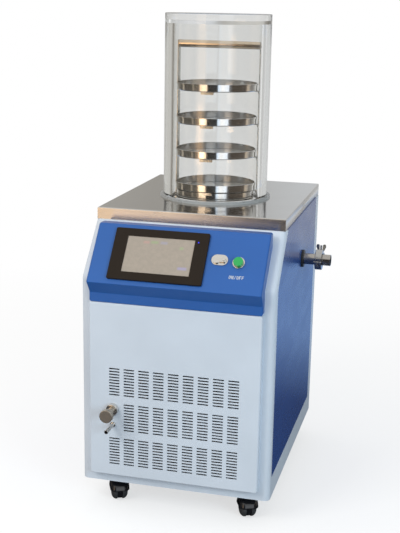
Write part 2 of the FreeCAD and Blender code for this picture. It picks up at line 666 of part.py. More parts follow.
# ---------------------------------------------------------------- console
def console_cover():
    outline = [(0, CONSOLE_BOTTOM), (PANEL_FACE, CONSOLE_BOTTOM), (PANEL_FACE, CONSOLE_STRIP_TOP),
               (-CONSOLE_TIP_REACH, CONSOLE_TIP), (CONSOLE_TOP_FRONT, CONSOLE_TOP),
               (CONSOLE_TOP_BACK, CONSOLE_TOP), (CONSOLE_TOP_BACK, slope_z(CONSOLE_TOP_BACK)), (0, KNEE)]
    half = PANEL_HALF
    sheet = CONSOLE_SHEET
    outer = prism(outline, [0, 1, 3, 2, 3, 3, 0, 0], -half, half)
    corner = CONSOLE_SIDE_RADIUS

    def front_side(p):
        return abs(abs(p.x) - half) < 1e-3 and p.y < CONSOLE_TOP_FRONT + corner \
            and p.y < max(0.0, slope_y(p.z)) - corner and p.z > CONSOLE_BOTTOM + corner

    outer = round_edges(outer, corner, front_side)
    open_back = -PANEL_DEPTH
    hollow = prism(inset(outline, [sheet, sheet, sheet, sheet, sheet, sheet, open_back, open_back]),
                   [0] * len(outline), -half + sheet, half - sheet)
    cover = outer.cut(hollow)
    box_hole = box(DISPLAY_X - DISPLAY_BOX_WIDTH / 2, DISPLAY_X + DISPLAY_BOX_WIDTH / 2,
                   DISPLAY_S - DISPLAY_BOX_HEIGHT / 2, DISPLAY_S + DISPLAY_BOX_HEIGHT / 2, -2 * sheet, sheet)
    holes = [on_face(box_hole, 0, 0),
             on_face(rod(0, 0, -2 * sheet, BUTTON_BARREL_RADIUS, 3 * sheet, (0, 0, 1)), BUTTON_X, BUTTON_S),
             on_face(rod(SOCKET_LEFT, 0, -2 * sheet, SOCKET_BODY_RADIUS, 3 * sheet, (0, 0, 1)),
                     SOCKET_X, SOCKET_S)]
    return cover.cut(Part.makeCompound(holes))


def rounded_plate(width, height, z0, z1, radius):
    plate = box(-width / 2, width / 2, -height / 2, height / 2, z0, z1)
    middle = (z0 + z1) / 2
    return round_edges(plate, radius, lambda p: abs(p.z - middle) < 1e-3)


def display_bezel():
    plate = rounded_plate(BEZEL_WIDTH, BEZEL_HEIGHT, 0, BEZEL_DEPTH, BEZEL_CORNER)
    plate = round_edges(plate, 1.0, lambda p: abs(p.z - BEZEL_DEPTH) < 1e-3)
    window = box(-SCREEN_WIDTH / 2, SCREEN_WIDTH / 2, -SCREEN_HEIGHT / 2, SCREEN_HEIGHT / 2,
                 -1, BEZEL_DEPTH + 1)
    lamp = rod(LAMP_X - DISPLAY_X, LAMP_S - DISPLAY_S, -1, LAMP_RADIUS, BEZEL_DEPTH + 2, (0, 0, 1))
    return on_face(plate.cut(window).cut(lamp), DISPLAY_X, DISPLAY_S)


def display_glass():
    glass = box(-SCREEN_WIDTH / 2, SCREEN_WIDTH / 2, -SCREEN_HEIGHT / 2, SCREEN_HEIGHT / 2, 0, SCREEN_GLASS)
    return on_face(glass, DISPLAY_X, DISPLAY_S)


def display_housing():
    housing = box(-DISPLAY_BOX_WIDTH / 2, DISPLAY_BOX_WIDTH / 2, -DISPLAY_BOX_HEIGHT / 2,
                  DISPLAY_BOX_HEIGHT / 2, -DISPLAY_BOX_DEPTH, 0)
    housing = round_edges(housing, 3.0, lambda p: abs(p.z + DISPLAY_BOX_DEPTH) < 1e-3)
    return on_face(housing, DISPLAY_X, DISPLAY_S)


def status_lamp():
    lamp = rod(0, 0, 0, LAMP_RADIUS, BEZEL_DEPTH + LAMP_PROUD, (0, 0, 1))
    lamp = round_edges(lamp, LAMP_PROUD / 2, lambda p: p.z > BEZEL_DEPTH)
    return on_face(lamp, LAMP_X, LAMP_S)


def button_housing():
    ring = rod(0, 0, 0, BUTTON_RING_RADIUS, BUTTON_RING_HEIGHT, (0, 0, 1))
    ring = round_edges(ring, 1.0, lambda p: p.z > BUTTON_RING_HEIGHT / 2)
    barrel = rod(0, 0, -BUTTON_BARREL_DEPTH, BUTTON_BARREL_RADIUS, BUTTON_BARREL_DEPTH, (0, 0, 1))
    well = rod(0, 0, -BUTTON_WELL, BUTTON_RADIUS + BUTTON_CLEARANCE,
               BUTTON_WELL + BUTTON_RING_HEIGHT + 1, (0, 0, 1))
    return on_face(ring.fuse(barrel).cut(well), BUTTON_X, BUTTON_S)


def button_cap():
    cap = rod(0, 0, -BUTTON_SKIRT, BUTTON_RADIUS, BUTTON_SKIRT + BUTTON_HEIGHT, (0, 0, 1))
    cap = round_edges(cap, 1.5, lambda p: p.z > BUTTON_HEIGHT / 2)
    return on_face(cap, BUTTON_X, BUTTON_S)


def data_socket():
    corner = SOCKET_PLATE_HEIGHT / 2 - 0.01
    plate = rounded_plate(SOCKET_PLATE_WIDTH, SOCKET_PLATE_HEIGHT, 0, SOCKET_PLATE, corner)
    body = rod(SOCKET_LEFT, 0, -SOCKET_BODY_DEPTH, SOCKET_BODY_RADIUS, SOCKET_BODY_DEPTH, (0, 0, 1))
    port = box(SOCKET_LEFT - SOCKET_PORT_WIDTH / 2, SOCKET_LEFT + SOCKET_PORT_WIDTH / 2,
               -SOCKET_PORT_HEIGHT / 2, SOCKET_PORT_HEIGHT / 2,
               SOCKET_PLATE - SOCKET_PORT_DEPTH, SOCKET_PLATE + 1)
    pin_top = SOCKET_PLATE + 2 * CAP_LIFT + CAP_THICKNESS
    pin = rod(CAP_PIVOT_X, 0, 0, PIVOT_RADIUS, pin_top, (0, 0, 1))
    head = rod(CAP_PIVOT_X, 0, pin_top, PIVOT_HEAD_RADIUS, PIVOT_HEAD, (0, 0, 1))
    head = round_edges(head, PIVOT_HEAD / 3, lambda p: p.z > pin_top + PIVOT_HEAD / 2)
    return on_face(plate.fuse(body).cut(port).fuse(pin).fuse(head), SOCKET_X, SOCKET_S)


def socket_cap():
    bottom = SOCKET_PLATE + CAP_LIFT
    disc = rod(SOCKET_LEFT, 0, bottom, CAP_RADIUS, CAP_THICKNESS, (0, 0, 1))
    arm = box(SOCKET_LEFT, CAP_PIVOT_X, -CAP_ARM_RADIUS, CAP_ARM_RADIUS, bottom, bottom + CAP_THICKNESS)
    boss = rod(CAP_PIVOT_X, 0, bottom, CAP_ARM_RADIUS, CAP_THICKNESS, (0, 0, 1))
    hole = rod(CAP_PIVOT_X, 0, bottom - 1, PIVOT_RADIUS + PIVOT_CLEARANCE, CAP_THICKNESS + 2, (0, 0, 1))
    cap = plain_solid(disc.fuse(arm).fuse(boss)).cut(hole)
    return on_face(cap, SOCKET_X, SOCKET_S)


# ---------------------------------------------------------------- cold trap, jar and rack
def cold_trap():
    top = WORKTOP - WORKTOP_SHEET
    can = rod(0, JAR_Y, TRAP_BOTTOM - TRAP_SHEET, TRAP_OUTER, top - TRAP_BOTTOM + TRAP_SHEET, (0, 0, 1))
    flange = rod(0, JAR_Y, top - TRAP_SHEET, TRAP_OUTER + TRAP_FLANGE, TRAP_SHEET, (0, 0, 1))
    hollow = rod(0, JAR_Y, TRAP_BOTTOM, TRAP_RADIUS, TRAP_DEPTH, (0, 0, 1))
    port = rod(0, JAR_Y, PORT_Z, PORT_TUBE_RADIUS, TRAP_OUTER + 1, (1, 0, 0))
    drain = rod(0, JAR_Y, TRAP_BOTTOM - TRAP_SHEET - 1, PIPE_RADIUS, TRAP_SHEET + 2, (0, 0, 1))
    return plain_solid(can.fuse(flange).cut(hollow).cut(port).cut(drain))


def trap_coil():
    """Half turns of pipe, each tilted by half a pitch, so that they meet end to end."""
    rise = COIL_PITCH / 2
    bottom = COIL_TOP - COIL_TURNS * COIL_PITCH
    halves = []
    for index in range(2 * COIL_TURNS):
        side = -1 if index % 2 == 0 else 1
        z = bottom + index * rise
        section = Part.Face(Part.Wire(Part.makeCircle(COIL_TUBE_RADIUS, V(side * COIL_RADIUS, JAR_Y, z),
                                                      V(0, 1, 0))))
        middle = V(0, JAR_Y, z + rise / 2)
        halves.append(section.revolve(middle, V(side * rise / 2, 0, COIL_RADIUS), 180))
    return plain_solid(halves[0].fuse(halves[1:]))


def trap_insulation():
    top = WORKTOP - WORKTOP_SHEET - TRAP_SHEET
    bottom = TRAP_BOTTOM - TRAP_SHEET - FOAM_UNDER_TRAP
    half = FOAM_HALF_WIDTH
    block = box(-half, half, JAR_Y - half, JAR_Y + half, bottom, top)
    wide = rod(0, JAR_Y, COIL_TOP - COIL_TURNS * COIL_PITCH - 2 * COIL_TUBE_RADIUS, FOAM_CAVITY,
               FOAM_CAVITY * 2, (0, 0, 1))
    narrow = rod(0, JAR_Y, TRAP_BOTTOM - TRAP_SHEET, TRAP_OUTER, TRAP_DEPTH, (0, 0, 1))
    port = rod(0, JAR_Y, PORT_Z, PORT_TUBE_RADIUS, half + 1, (1, 0, 0))
    drain = rod(0, JAR_Y, bottom - 1, PIPE_RADIUS, FOAM_UNDER_TRAP + 2, (0, 0, 1))
    suction = rod(-COIL_RADIUS, JAR_Y, bottom - 1, PIPE_RADIUS, top - bottom, (0, 0, 1))
    return plain_solid(block.cut(wide).cut(narrow).cut(port).cut(drain).cut(suction))


def jar_seal():
    ring = tube(0, JAR_Y, WORKTOP, SEAL_OUTER_RADIUS, JAR_INNER_RADIUS, SEAL_THICKNESS, (0, 0, 1))
    inner = JAR_OUTER_RADIUS + SEAL_LIP_GAP
    lip = tube(0, JAR_Y, WORKTOP, inner + SEAL_LIP_WIDTH, inner, SEAL_LIP_HEIGHT, (0, 0, 1))
    return plain_solid(ring.fuse(lip))


def jar_cylinder():
    height = JAR_HEIGHT - LID_THICKNESS
    return tube(0, JAR_Y, JAR_BOTTOM, JAR_OUTER_RADIUS, JAR_INNER_RADIUS, height, (0, 0, 1))


def jar_lid():
    bottom = JAR_BOTTOM + JAR_HEIGHT - LID_THICKNESS
    lid = rod(0, JAR_Y, bottom, JAR_OUTER_RADIUS, LID_THICKNESS, (0, 0, 1))
    return round_edges(lid, 1.5, lambda p: abs(p.z - bottom - LID_THICKNESS) < 1e-3)


def tray_rim(index):
    return WORKTOP + TRAY_FIRST_RIM + index * TRAY_PITCH


def tray(index):
    rim = tray_rim(index)
    bottom = rim - TRAY_HEIGHT
    dish = rod(0, JAR_Y, bottom, TRAY_RADIUS, TRAY_HEIGHT, (0, 0, 1))
    dish = round_edges(dish, 2.5, lambda p: abs(p.z - bottom) < 1e-3)
    hollow = rod(0, JAR_Y, bottom + TRAY_SHEET, TRAY_RADIUS - TRAY_SHEET, TRAY_HEIGHT, (0, 0, 1))
    hollow = round_edges(hollow, 1.3, lambda p: abs(p.z - bottom - TRAY_SHEET) < 1e-3)
    hem = tube(0, JAR_Y, rim - TRAY_HEM_HEIGHT, TRAY_RADIUS + TRAY_HEM, TRAY_RADIUS - TRAY_SHEET,
               TRAY_HEM_HEIGHT, (0, 0, 1))
    return plain_solid(dish.cut(hollow).fuse(hem))


def tray_rack():
    """Two uprights and a skirt on a foot ring, with a cross of two strips under each tray, all welded."""
    ring = tube(0, JAR_Y, WORKTOP, RACK_RING_OUTER, RACK_RING_INNER, RACK_RING_THICKNESS, (0, 0, 1))
    skirt_radius = TRAY_RADIUS - 2 * RACK_SUPPORT
    skirt_height = TRAY_FIRST_RIM - TRAY_HEIGHT - RACK_SUPPORT
    skirt = tube(0, JAR_Y, WORKTOP, skirt_radius, skirt_radius - RACK_SKIRT_SHEET, skirt_height, (0, 0, 1))
    rack = ring.fuse(skirt)
    top = HANDLE_Z + HANDLE_RADIUS
    foot = WORKTOP + RACK_RING_THICKNESS
    half_strip = RACK_STRIP_WIDTH / 2
    for side in (-1, 1):
        near, far = sorted((side * RACK_INNER, side * (RACK_INNER + RACK_STRIP)))
        upright = box(near, far, JAR_Y - half_strip, JAR_Y + half_strip, foot, top)
        upright = upright.cut(rod(near - 1, JAR_Y, HANDLE_Z, HANDLE_SCREW_RADIUS, RACK_STRIP + 2, (1, 0, 0)))
        rack = rack.fuse(upright)
    half = RACK_SUPPORT_WIDTH / 2
    reach = TRAY_RADIUS - RACK_SUPPORT
    for index in range(TRAY_COUNT):
        under = tray_rim(index) - TRAY_HEIGHT
        sheet = RACK_SUPPORT
        across = box(-RACK_INNER, RACK_INNER, JAR_Y - half_strip, JAR_Y + half_strip, under - sheet, under)
        along = box(-half, half, JAR_Y - reach, JAR_Y + reach, under - sheet, under)
        rack = rack.fuse(across).fuse(along)
        for side in (-1, 1):
            near, far = sorted((side * (reach - sheet), side * reach))
            rack = rack.fuse(box(-half, half, JAR_Y + near, JAR_Y + far, under - RACK_LIP, under))
            near, far = sorted((side * (RACK_INNER - sheet), side * RACK_INNER))
            rack = rack.fuse(box(near, far, JAR_Y - half_strip, JAR_Y + half_strip, under - RACK_LIP, under))
    return plain_solid(rack)


def rack_handle():
    """The lifting bar: a tube between the uprights, with a screw through each of them into its end."""
    bar = rod(-RACK_INNER, JAR_Y, HANDLE_Z, HANDLE_RADIUS, 2 * RACK_INNER, (1, 0, 0))
    middle = RACK_INNER - 2 * HANDLE_RADIUS
    bar = bar.cut(rod(-middle, JAR_Y, HANDLE_Z, HANDLE_RADIUS - HANDLE_WALL, 2 * middle, (1, 0, 0)))
    for side in (-1, 1):
        shank = rod(side * RACK_INNER, JAR_Y, HANDLE_Z, HANDLE_SCREW_RADIUS, RACK_STRIP, (side, 0, 0))
        head = rod(side * (RACK_INNER + RACK_STRIP), JAR_Y, HANDLE_Z, HANDLE_SCREW_HEAD_RADIUS,
                   HANDLE_SCREW_HEAD, (side, 0, 0))
        bar = bar.fuse(shank).fuse(head)
    return plain_solid(bar)


# ---------------------------------------------------------------- vent valve
def vent_valve_body():
    """Collar in front of the panel, threaded body behind it and the stem that the knob turns on."""
    front = VALVE_COLLAR_FRONT
    collar = rod(VALVE_X, front, VALVE_Z, VALVE_COLLAR_RADIUS, VALVE_COLLAR_LENGTH, (0, 1, 0))
    collar = round_edges(collar, 2.0, lambda p: p.y < front + 1)
    body = rod(VALVE_X, PANEL_FACE, VALVE_Z, VALVE_BODY_RADIUS, VALVE_BODY_DEPTH, (0, 1, 0))
    stem_end = KNOB_FACE + KNOB_THICKNESS / 2
    stem = rod(VALVE_X, stem_end, VALVE_Z, VALVE_STEM_RADIUS, front - stem_end + 1, (0, 1, 0))
    block = box(VALVE_X - VALVE_BODY_RADIUS, VALVE_X + VALVE_BODY_RADIUS, PANEL_FACE + NOZZLE_TAIL,
                PANEL_FACE + VALVE_BODY_DEPTH, NOZZLE_Z - VALVE_BODY_RADIUS, VALVE_Z)
    return plain_solid(collar.fuse(body).fuse(stem).fuse(block))


def vent_valve_knob():
    disc = rod(VALVE_X, KNOB_FACE, VALVE_Z, KNOB_RADIUS, KNOB_THICKNESS, (0, 1, 0))
    disc = round_edges(disc, 1.5, lambda p: True)
    back = VALVE_COLLAR_FRONT - KNOB_HUB_GAP
    hub = rod(VALVE_X, KNOB_FACE + KNOB_THICKNESS / 2, VALVE_Z, KNOB_HUB_RADIUS,
              back - KNOB_FACE - KNOB_THICKNESS / 2, (0, 1, 0))
    stem_end = KNOB_FACE + KNOB_THICKNESS / 2
    bore = rod(VALVE_X, stem_end - KNOB_HUB_GAP, VALVE_Z, VALVE_STEM_RADIUS + VALVE_STEM_CLEARANCE,
               KNOB_FRONT, (0, 1, 0))
    return plain_solid(disc.fuse(hub).cut(bore))


def vent_nozzle():
    base = rod(VALVE_X, PANEL_FACE - NOZZLE_BASE, NOZZLE_Z, NOZZLE_BASE_RADIUS, NOZZLE_BASE, (0, 1, 0))
    length = NOZZLE_LENGTH + NOZZLE_TAIL
    stem = rod(VALVE_X, PANEL_FACE - NOZZLE_LENGTH, NOZZLE_Z, NOZZLE_RADIUS, length, (0, 1, 0))
    stem = round_edges(stem, 0.8, lambda p: p.y < PANEL_FACE - NOZZLE_LENGTH + 1)
    bore = rod(VALVE_X, PANEL_FACE - NOZZLE_LENGTH - 1, NOZZLE_Z, NOZZLE_BORE, NOZZLE_LENGTH, (0, 1, 0))
    return plain_solid(base.fuse(stem).cut(bore))


def vent_pipe():
    """From the valve's block to the drain hole in the trap's floor."""
    start_y = PANEL_FACE + VALVE_BODY_DEPTH
    low = PAN_TOP + CONDENSER_HEIGHT + 60
    behind = FAN_Y + FAN_DEPTH + 40
    return pipe([(VALVE_X, start_y, NOZZLE_Z), (VALVE_X, start_y + VENT_PIPE_RUN, NOZZLE_Z),
                 (VALVE_X - 40, start_y + VENT_PIPE_RUN, NOZZLE_Z + 60),
                 (VALVE_X - 40, start_y + VENT_PIPE_RUN, low), (VALVE_X - 40, behind, low),
                 (0, JAR_Y, low), (0, JAR_Y, TRAP_BOTTOM)], PIPE_RADIUS, PIPE_BEND)


# ---------------------------------------------------------------- vacuum port and clamp
def kf_flange(face_x, outwards):
    """A small clamped-flange end: flat rim at face_x and a taper behind it."""
    rim = rod(face_x, JAR_Y, PORT_Z, KF_RADIUS, KF_RIM, (-outwards, 0, 0))
    taper = Part.makeCone(KF_RADIUS, KF_TAPER_RADIUS, KF_TAPER, V(face_x - outwards * KF_RIM, JAR_Y, PORT_Z),
                          V(-outwards, 0, 0))
    return rim.fuse(taper)


def port_pipe():
    start = TRAP_RADIUS - 1
    outer = rod(start, JAR_Y, PORT_Z, PORT_TUBE_RADIUS, KF_X - start, (1, 0, 0))
    bore = rod(start - 1, JAR_Y, PORT_Z, PORT_TUBE_RADIUS - PORT_TUBE_WALL, KF_X - start + 2, (1, 0, 0))
    inside_trap = rod(0, JAR_Y, TRAP_BOTTOM, TRAP_RADIUS, TRAP_DEPTH, (0, 0, 1))
    return plain_solid(outer.fuse(kf_flange(KF_X, 1)).cut(bore).cut(inside_trap))


def port_mount():
    ring = tube(HALF_WIDTH, JAR_Y, PORT_Z, PORT_MOUNT_RADIUS, PORT_TUBE_RADIUS, PORT_MOUNT_HEIGHT, (1, 0, 0))
    return round_edges(ring, 2.0, lambda p: p.x > HALF_WIDTH + PORT_MOUNT_HEIGHT - 1 and
                       math.hypot(p.y - JAR_Y, p.z - PORT_Z) > PORT_TUBE_RADIUS + 1)


def hose_pipe():
    """The flanged end of the pump's vacuum line, as far as its short stub."""
    face = KF_X + KF_GAP
    length = KF_RIM + KF_TAPER + HOSE_STUB
    outer = rod(face, JAR_Y, PORT_Z, PORT_TUBE_RADIUS, length, (1, 0, 0))
    bore = rod(face - 1, JAR_Y, PORT_Z, PORT_TUBE_RADIUS - PORT_TUBE_WALL, length + 2, (1, 0, 0))
    return plain_solid(outer.fuse(kf_flange(face, -1)).cut(bore))


def centring_ring():
    """Metal carrier and its elastomer ring, held between the two flanges."""
    spigot_radius = PORT_TUBE_RADIUS - PORT_TUBE_WALL
    spigot = tube(KF_X - RING_SPIGOT, JAR_Y, PORT_Z, spigot_radius, RING_BORE_RADIUS,
                  KF_GAP + 2 * RING_SPIGOT, (1, 0, 0))
    ring = tube(KF_X, JAR_Y, PORT_Z, KF_RADIUS - 1, RING_BORE_RADIUS, KF_GAP, (1, 0, 0))
    return plain_solid(spigot.fuse(ring))


def clamp_body():
    """The closed clamp's ring: a cylinder with a tapered groove that the two flanges fill."""
    half = CLAMP_WIDTH / 2
    ring = rod(CLAMP_X - half, JAR_Y, PORT_Z, CLAMP_RADIUS, CLAMP_WIDTH, (1, 0, 0))
    ring = round_edges(ring, 1.5, lambda p: True)
    reach = KF_GAP / 2 + KF_RIM
    groove = rod(CLAMP_X - reach, JAR_Y, PORT_Z, KF_RADIUS + CLAMP_AIR, 2 * reach, (1, 0, 0))
    for side in (-1, 1):
        groove = groove.fuse(Part.makeCone(
            KF_RADIUS + CLAMP_AIR, KF_TAPER_RADIUS + CLAMP_AIR, KF_TAPER,
            V(CLAMP_X + side * reach, JAR_Y, PORT_Z), V(side, 0, 0)))
    bore = rod(CLAMP_X - half - 1, JAR_Y, PORT_Z, KF_TAPER_RADIUS + CLAMP_AIR, CLAMP_WIDTH + 2, (1, 0, 0))
    return ring.cut(groove).cut(bore)


def clamp_bore():
    return rod(CLAMP_X - CLAMP_WIDTH, JAR_Y, PORT_Z, CLAMP_RADIUS - 1.5, 2 * CLAMP_WIDTH, (1, 0, 0))


def clamp_lower():
    half = CLAMP_WIDTH / 2
    lower = clamp_body().common(box(CLAMP_X - half, CLAMP_X + half, JAR_Y - 60, JAR_Y + 60,
                                    PORT_Z - 60, PORT_Z - CLAMP_SPLIT / 2))
    hinge_y = JAR_Y - CLAMP_LUG_REACH
    pivot_y = JAR_Y + CLAMP_LUG_REACH
    pivot_z = PORT_Z - BOLT_PIVOT_DROP
    eye = CLAMP_EYE_WIDTH / 2
    hinge = rod(CLAMP_X - eye, hinge_y, PORT_Z, CLAMP_LUG_RADIUS, CLAMP_EYE_WIDTH, (1, 0, 0))
    hinge = hinge.fuse(box(CLAMP_X - eye, CLAMP_X + eye, hinge_y - CLAMP_LUG_RADIUS, JAR_Y - KF_RADIUS,
                           PORT_Z - 2 * CLAMP_LUG_RADIUS, PORT_Z - CLAMP_SPLIT / 2 - 2))
    fork = rod(CLAMP_X - half, pivot_y, pivot_z, CLAMP_LUG_RADIUS, CLAMP_WIDTH, (1, 0, 0))
    fork = fork.fuse(box(CLAMP_X - half, CLAMP_X + half, JAR_Y + KF_RADIUS, pivot_y,
                         pivot_z - CLAMP_LUG_RADIUS, pivot_z + CLAMP_LUG_RADIUS))
    slot = box(CLAMP_X - eye, CLAMP_X + eye, pivot_y - CLAMP_LUG_RADIUS - 1, pivot_y + CLAMP_LUG_RADIUS + 1,
               pivot_z - CLAMP_LUG_RADIUS - 1, pivot_z + CLAMP_LUG_RADIUS + 1)
    pivot = rod(CLAMP_X - half, pivot_y, pivot_z, BOLT_RADIUS, CLAMP_WIDTH, (1, 0, 0))
    lugs = hinge.fuse(fork.cut(slot)).cut(clamp_bore())
    hole = rod(CLAMP_X - half - 1, hinge_y, PORT_Z, CLAMP_PIN_RADIUS, CLAMP_WIDTH + 2, (1, 0, 0))
    return plain_solid(lower.fuse(lugs).fuse(pivot.common(fork)).cut(hole))


def clamp_upper():
    half = CLAMP_WIDTH / 2
    upper = clamp_body().common(box(CLAMP_X - half, CLAMP_X + half, JAR_Y - 60, JAR_Y + 60,
                                    PORT_Z + CLAMP_SPLIT / 2, PORT_Z + 60))
    hinge_y = JAR_Y - CLAMP_LUG_REACH
    bolt_y = JAR_Y + CLAMP_LUG_REACH
    eye = CLAMP_EYE_WIDTH / 2
    hinge = rod(CLAMP_X - half, hinge_y, PORT_Z, CLAMP_LUG_RADIUS, CLAMP_WIDTH, (1, 0, 0))
    hinge = hinge.fuse(box(CLAMP_X - half, CLAMP_X + half, hinge_y - CLAMP_LUG_RADIUS, JAR_Y - KF_RADIUS,
                           PORT_Z + CLAMP_SPLIT / 2 + 2, PORT_Z + 2 * CLAMP_LUG_RADIUS))
    gap = box(CLAMP_X - eye, CLAMP_X + eye, hinge_y - CLAMP_LUG_RADIUS - 1, hinge_y + CLAMP_LUG_RADIUS + 0.2,
              PORT_Z - CLAMP_LUG_RADIUS - 1, PORT_Z + CLAMP_LUG_RADIUS + 0.2)
    shelf = box(CLAMP_X - half, CLAMP_X + half, JAR_Y + KF_RADIUS, bolt_y + CLAMP_LUG_RADIUS,
                PORT_Z + CLAMP_SPLIT / 2, PORT_Z + LUG_SHELF)
    slot = box(CLAMP_X - BOLT_RADIUS - 0.3, CLAMP_X + BOLT_RADIUS + 0.3, bolt_y - BOLT_RADIUS - 0.5,
               bolt_y + CLAMP_LUG_RADIUS + 1, PORT_Z, PORT_Z + LUG_SHELF + 1)
    lugs = hinge.cut(gap).fuse(shelf.cut(slot)).cut(clamp_bore())
    hole = rod(CLAMP_X - half - 1, hinge_y, PORT_Z, CLAMP_PIN_RADIUS, CLAMP_WIDTH + 2, (1, 0, 0))
    return plain_solid(upper.fuse(lugs).cut(hole))


def clamp_pin():
    half = CLAMP_WIDTH / 2
    hinge_y = JAR_Y - CLAMP_LUG_REACH
    pin = rod(CLAMP_X - half - 1, hinge_y, PORT_Z, CLAMP_PIN_RADIUS, CLAMP_WIDTH + 2, (1, 0, 0))
    return round_edges(pin, 0.5, lambda p: True)


def clamp_bolt():
    """An eye bolt on the lower half's pivot, standing up through the upper half's slot."""
    bolt_y = JAR_Y + CLAMP_LUG_REACH
    pivot_z = PORT_Z - BOLT_PIVOT_DROP
    eye_half = CLAMP_EYE_WIDTH / 2 - 0.2
    eye = rod(CLAMP_X - eye_half, bolt_y, pivot_z, CLAMP_LUG_RADIUS, 2 * eye_half, (1, 0, 0))
    shank = rod(CLAMP_X, bolt_y, pivot_z, BOLT_RADIUS, BOLT_PIVOT_DROP + BOLT_TOP, (0, 0, 1))
    hole = rod(CLAMP_X - eye_half - 1, bolt_y, pivot_z, BOLT_RADIUS, 2 * eye_half + 2, (1, 0, 0))
    return plain_solid(eye.fuse(shank).cut(hole))


def wing_nut():
    bolt_y = JAR_Y + CLAMP_LUG_REACH
    bottom = PORT_Z + LUG_SHELF + 0.3
    nut = Part.makeCone(NUT_HUB_RADIUS + 1, NUT_HUB_RADIUS, NUT_HUB_HEIGHT, V(CLAMP_X, bolt_y, bottom))
    for side in (-1, 1):
        profile = [V(CLAMP_X + side * x, bolt_y - NUT_WING_THICKNESS / 2, bottom + z)
                   for x, z in ((3, 1.5), (NUT_WING_REACH - 5, 4), (NUT_WING_REACH, NUT_WING_TOP - 6),
                                (NUT_WING_REACH - 1, NUT_WING_TOP), (NUT_WING_REACH - 8, NUT_WING_TOP),
                                (3.6, NUT_HUB_HEIGHT - 1))]
        wire = Part.Wire(rounded_edges(profile, [0, 5, 3, 3, 3, 0], True))
        nut = nut.fuse(Part.Face(wire).extrude(V(0, NUT_WING_THICKNESS, 0)))
    bore = rod(CLAMP_X, bolt_y, bottom - 1, BOLT_RADIUS + CASTER_CLEARANCE, NUT_WING_TOP + 2, (0, 0, 1))
    return plain_solid(nut.cut(bore))


# ---------------------------------------------------------------- casters
def caster_places():
    front = CASTER_FRONT_INSET
    return [(-CASTER_X, front, CASTER_ANGLES[0]), (CASTER_X, front, CASTER_ANGLES[1]),
            (-CASTER_X, CASTER_REAR_Y, CASTER_ANGLES[2]), (CASTER_X, CASTER_REAR_Y, CASTER_ANGLES[3])]


def placed(shape, place):
    """Turn a caster piece about its kingpin, then carry it to its corner."""
    x, y, angle = place
    shape = shape.copy()
    shape.rotate(V(0, 0, 0), V(0, 0, 1), angle)
    shape.translate(V(x, y, 0))
    return shape


def caster_mounts():
    """Four top plates with their kingpins, each pin's upper end through the base pan."""
    half = CASTER_PLATE / 2
    plate = box(-half, half, -half, half, PLATE_BOTTOM, PAN_FLOOR)
    plate = round_edges(plate, 5.0, lambda p: PLATE_BOTTOM + 0.1 < p.z < PAN_FLOOR - 0.1)
    pin = rod(0, 0, PLATE_BOTTOM - KINGPIN_LENGTH, KINGPIN_RADIUS, KINGPIN_LENGTH + PAN_TOP - PLATE_BOTTOM,
              (0, 0, 1))
    mount = plain_solid(plate.fuse(pin))
    mounts = []
    for x, y, _ in caster_places():
        mounts.append(placed(mount, (x, y, 0)))
    return Part.makeCompound(mounts)


def wheel_profile(side, inner, grow, hub):
    """Half section (x, radius) of a domed wheel grown by a margin: web side, tread, dome, face."""
    flat = inner + WHEEL_TREAD
    outer = WHEEL_OUTER + grow
    rim = WHEEL_RADIUS + grow
    face = WHEEL_FACE_RADIUS + grow
    across, down = outer - flat, rim - face
    shoulder = math.sqrt(0.5)
    marks = [(inner, hub), (inner, rim), (flat, rim),
             (flat + across * shoulder, face + down * shoulder), (outer, face), (outer, hub)]
    points = [V(side * x, -CASTER_TRAIL, AXLE_Z + r) for x, r in marks]
    dome = Part.Arc(points[2], points[3], points[4]).toShape()
    edges = [dome]
    for start, end in ((0, 1), (1, 2), (4, 5), (5, 0)):
        edges.append(Part.LineSegment(points[start], points[end]).toShape())
    return Part.Face(Part.Wire(Part.__sortEdges__(edges)))


def wheel_body(side, inner, grow, hub):
    """The profile turned about the axle."""
    return wheel_profile(side, inner, grow, hub).revolve(V(0, -CASTER_TRAIL, AXLE_Z), V(1, 0, 0), 360)


def caster_hood():
    """Web between the wheels, fender over them and the neck that takes the kingpin."""
    web = WEB_THICKNESS / 2
    shell = HOOD_CLEARANCE + HOOD_SHELL
    outer = WHEEL_RADIUS + shell
    half = WHEEL_OUTER + shell
    axle_y = -CASTER_TRAIL
    low = AXLE_Z + shell
    fender = rod(-web, axle_y, AXLE_Z, outer, 2 * web, (1, 0, 0))
    for side in (-1, 1):
        fender = fender.fuse(wheel_body(side, web, shell, 0))
    fender = fender.common(box(-half, half, axle_y - outer, axle_y + outer, low, AXLE_Z + outer))
    neck_top = PLATE_BOTTOM - NECK_GAP
    neck = rod(0, 0, AXLE_Z, NECK_RADIUS, neck_top - AXLE_Z, (0, 0, 1))
    disc = rod(-web, axle_y, AXLE_Z, WHEEL_RADIUS - WEB_RISE, 2 * web, (1, 0, 0))
    spine = box(-web, web, axle_y, KINGPIN_RADIUS + 4, AXLE_Z - 8, AXLE_Z + outer - 8)
    hood = fender.fuse(neck).fuse(disc).fuse(spine)
    for side in (-1, 1):
        hood = hood.cut(wheel_body(side, web, HOOD_CLEARANCE, 0))
    hood = hood.cut(rod(0, 0, PLATE_BOTTOM - KINGPIN_LENGTH - 1, KINGPIN_RADIUS + CASTER_CLEARANCE,
                        KINGPIN_LENGTH + 2, (0, 0, 1)))
    hood = hood.cut(rod(-web - 1, axle_y, AXLE_Z, AXLE_RADIUS + CASTER_CLEARANCE, 2 * web + 2, (1, 0, 0)))
    return plain_solid(hood)


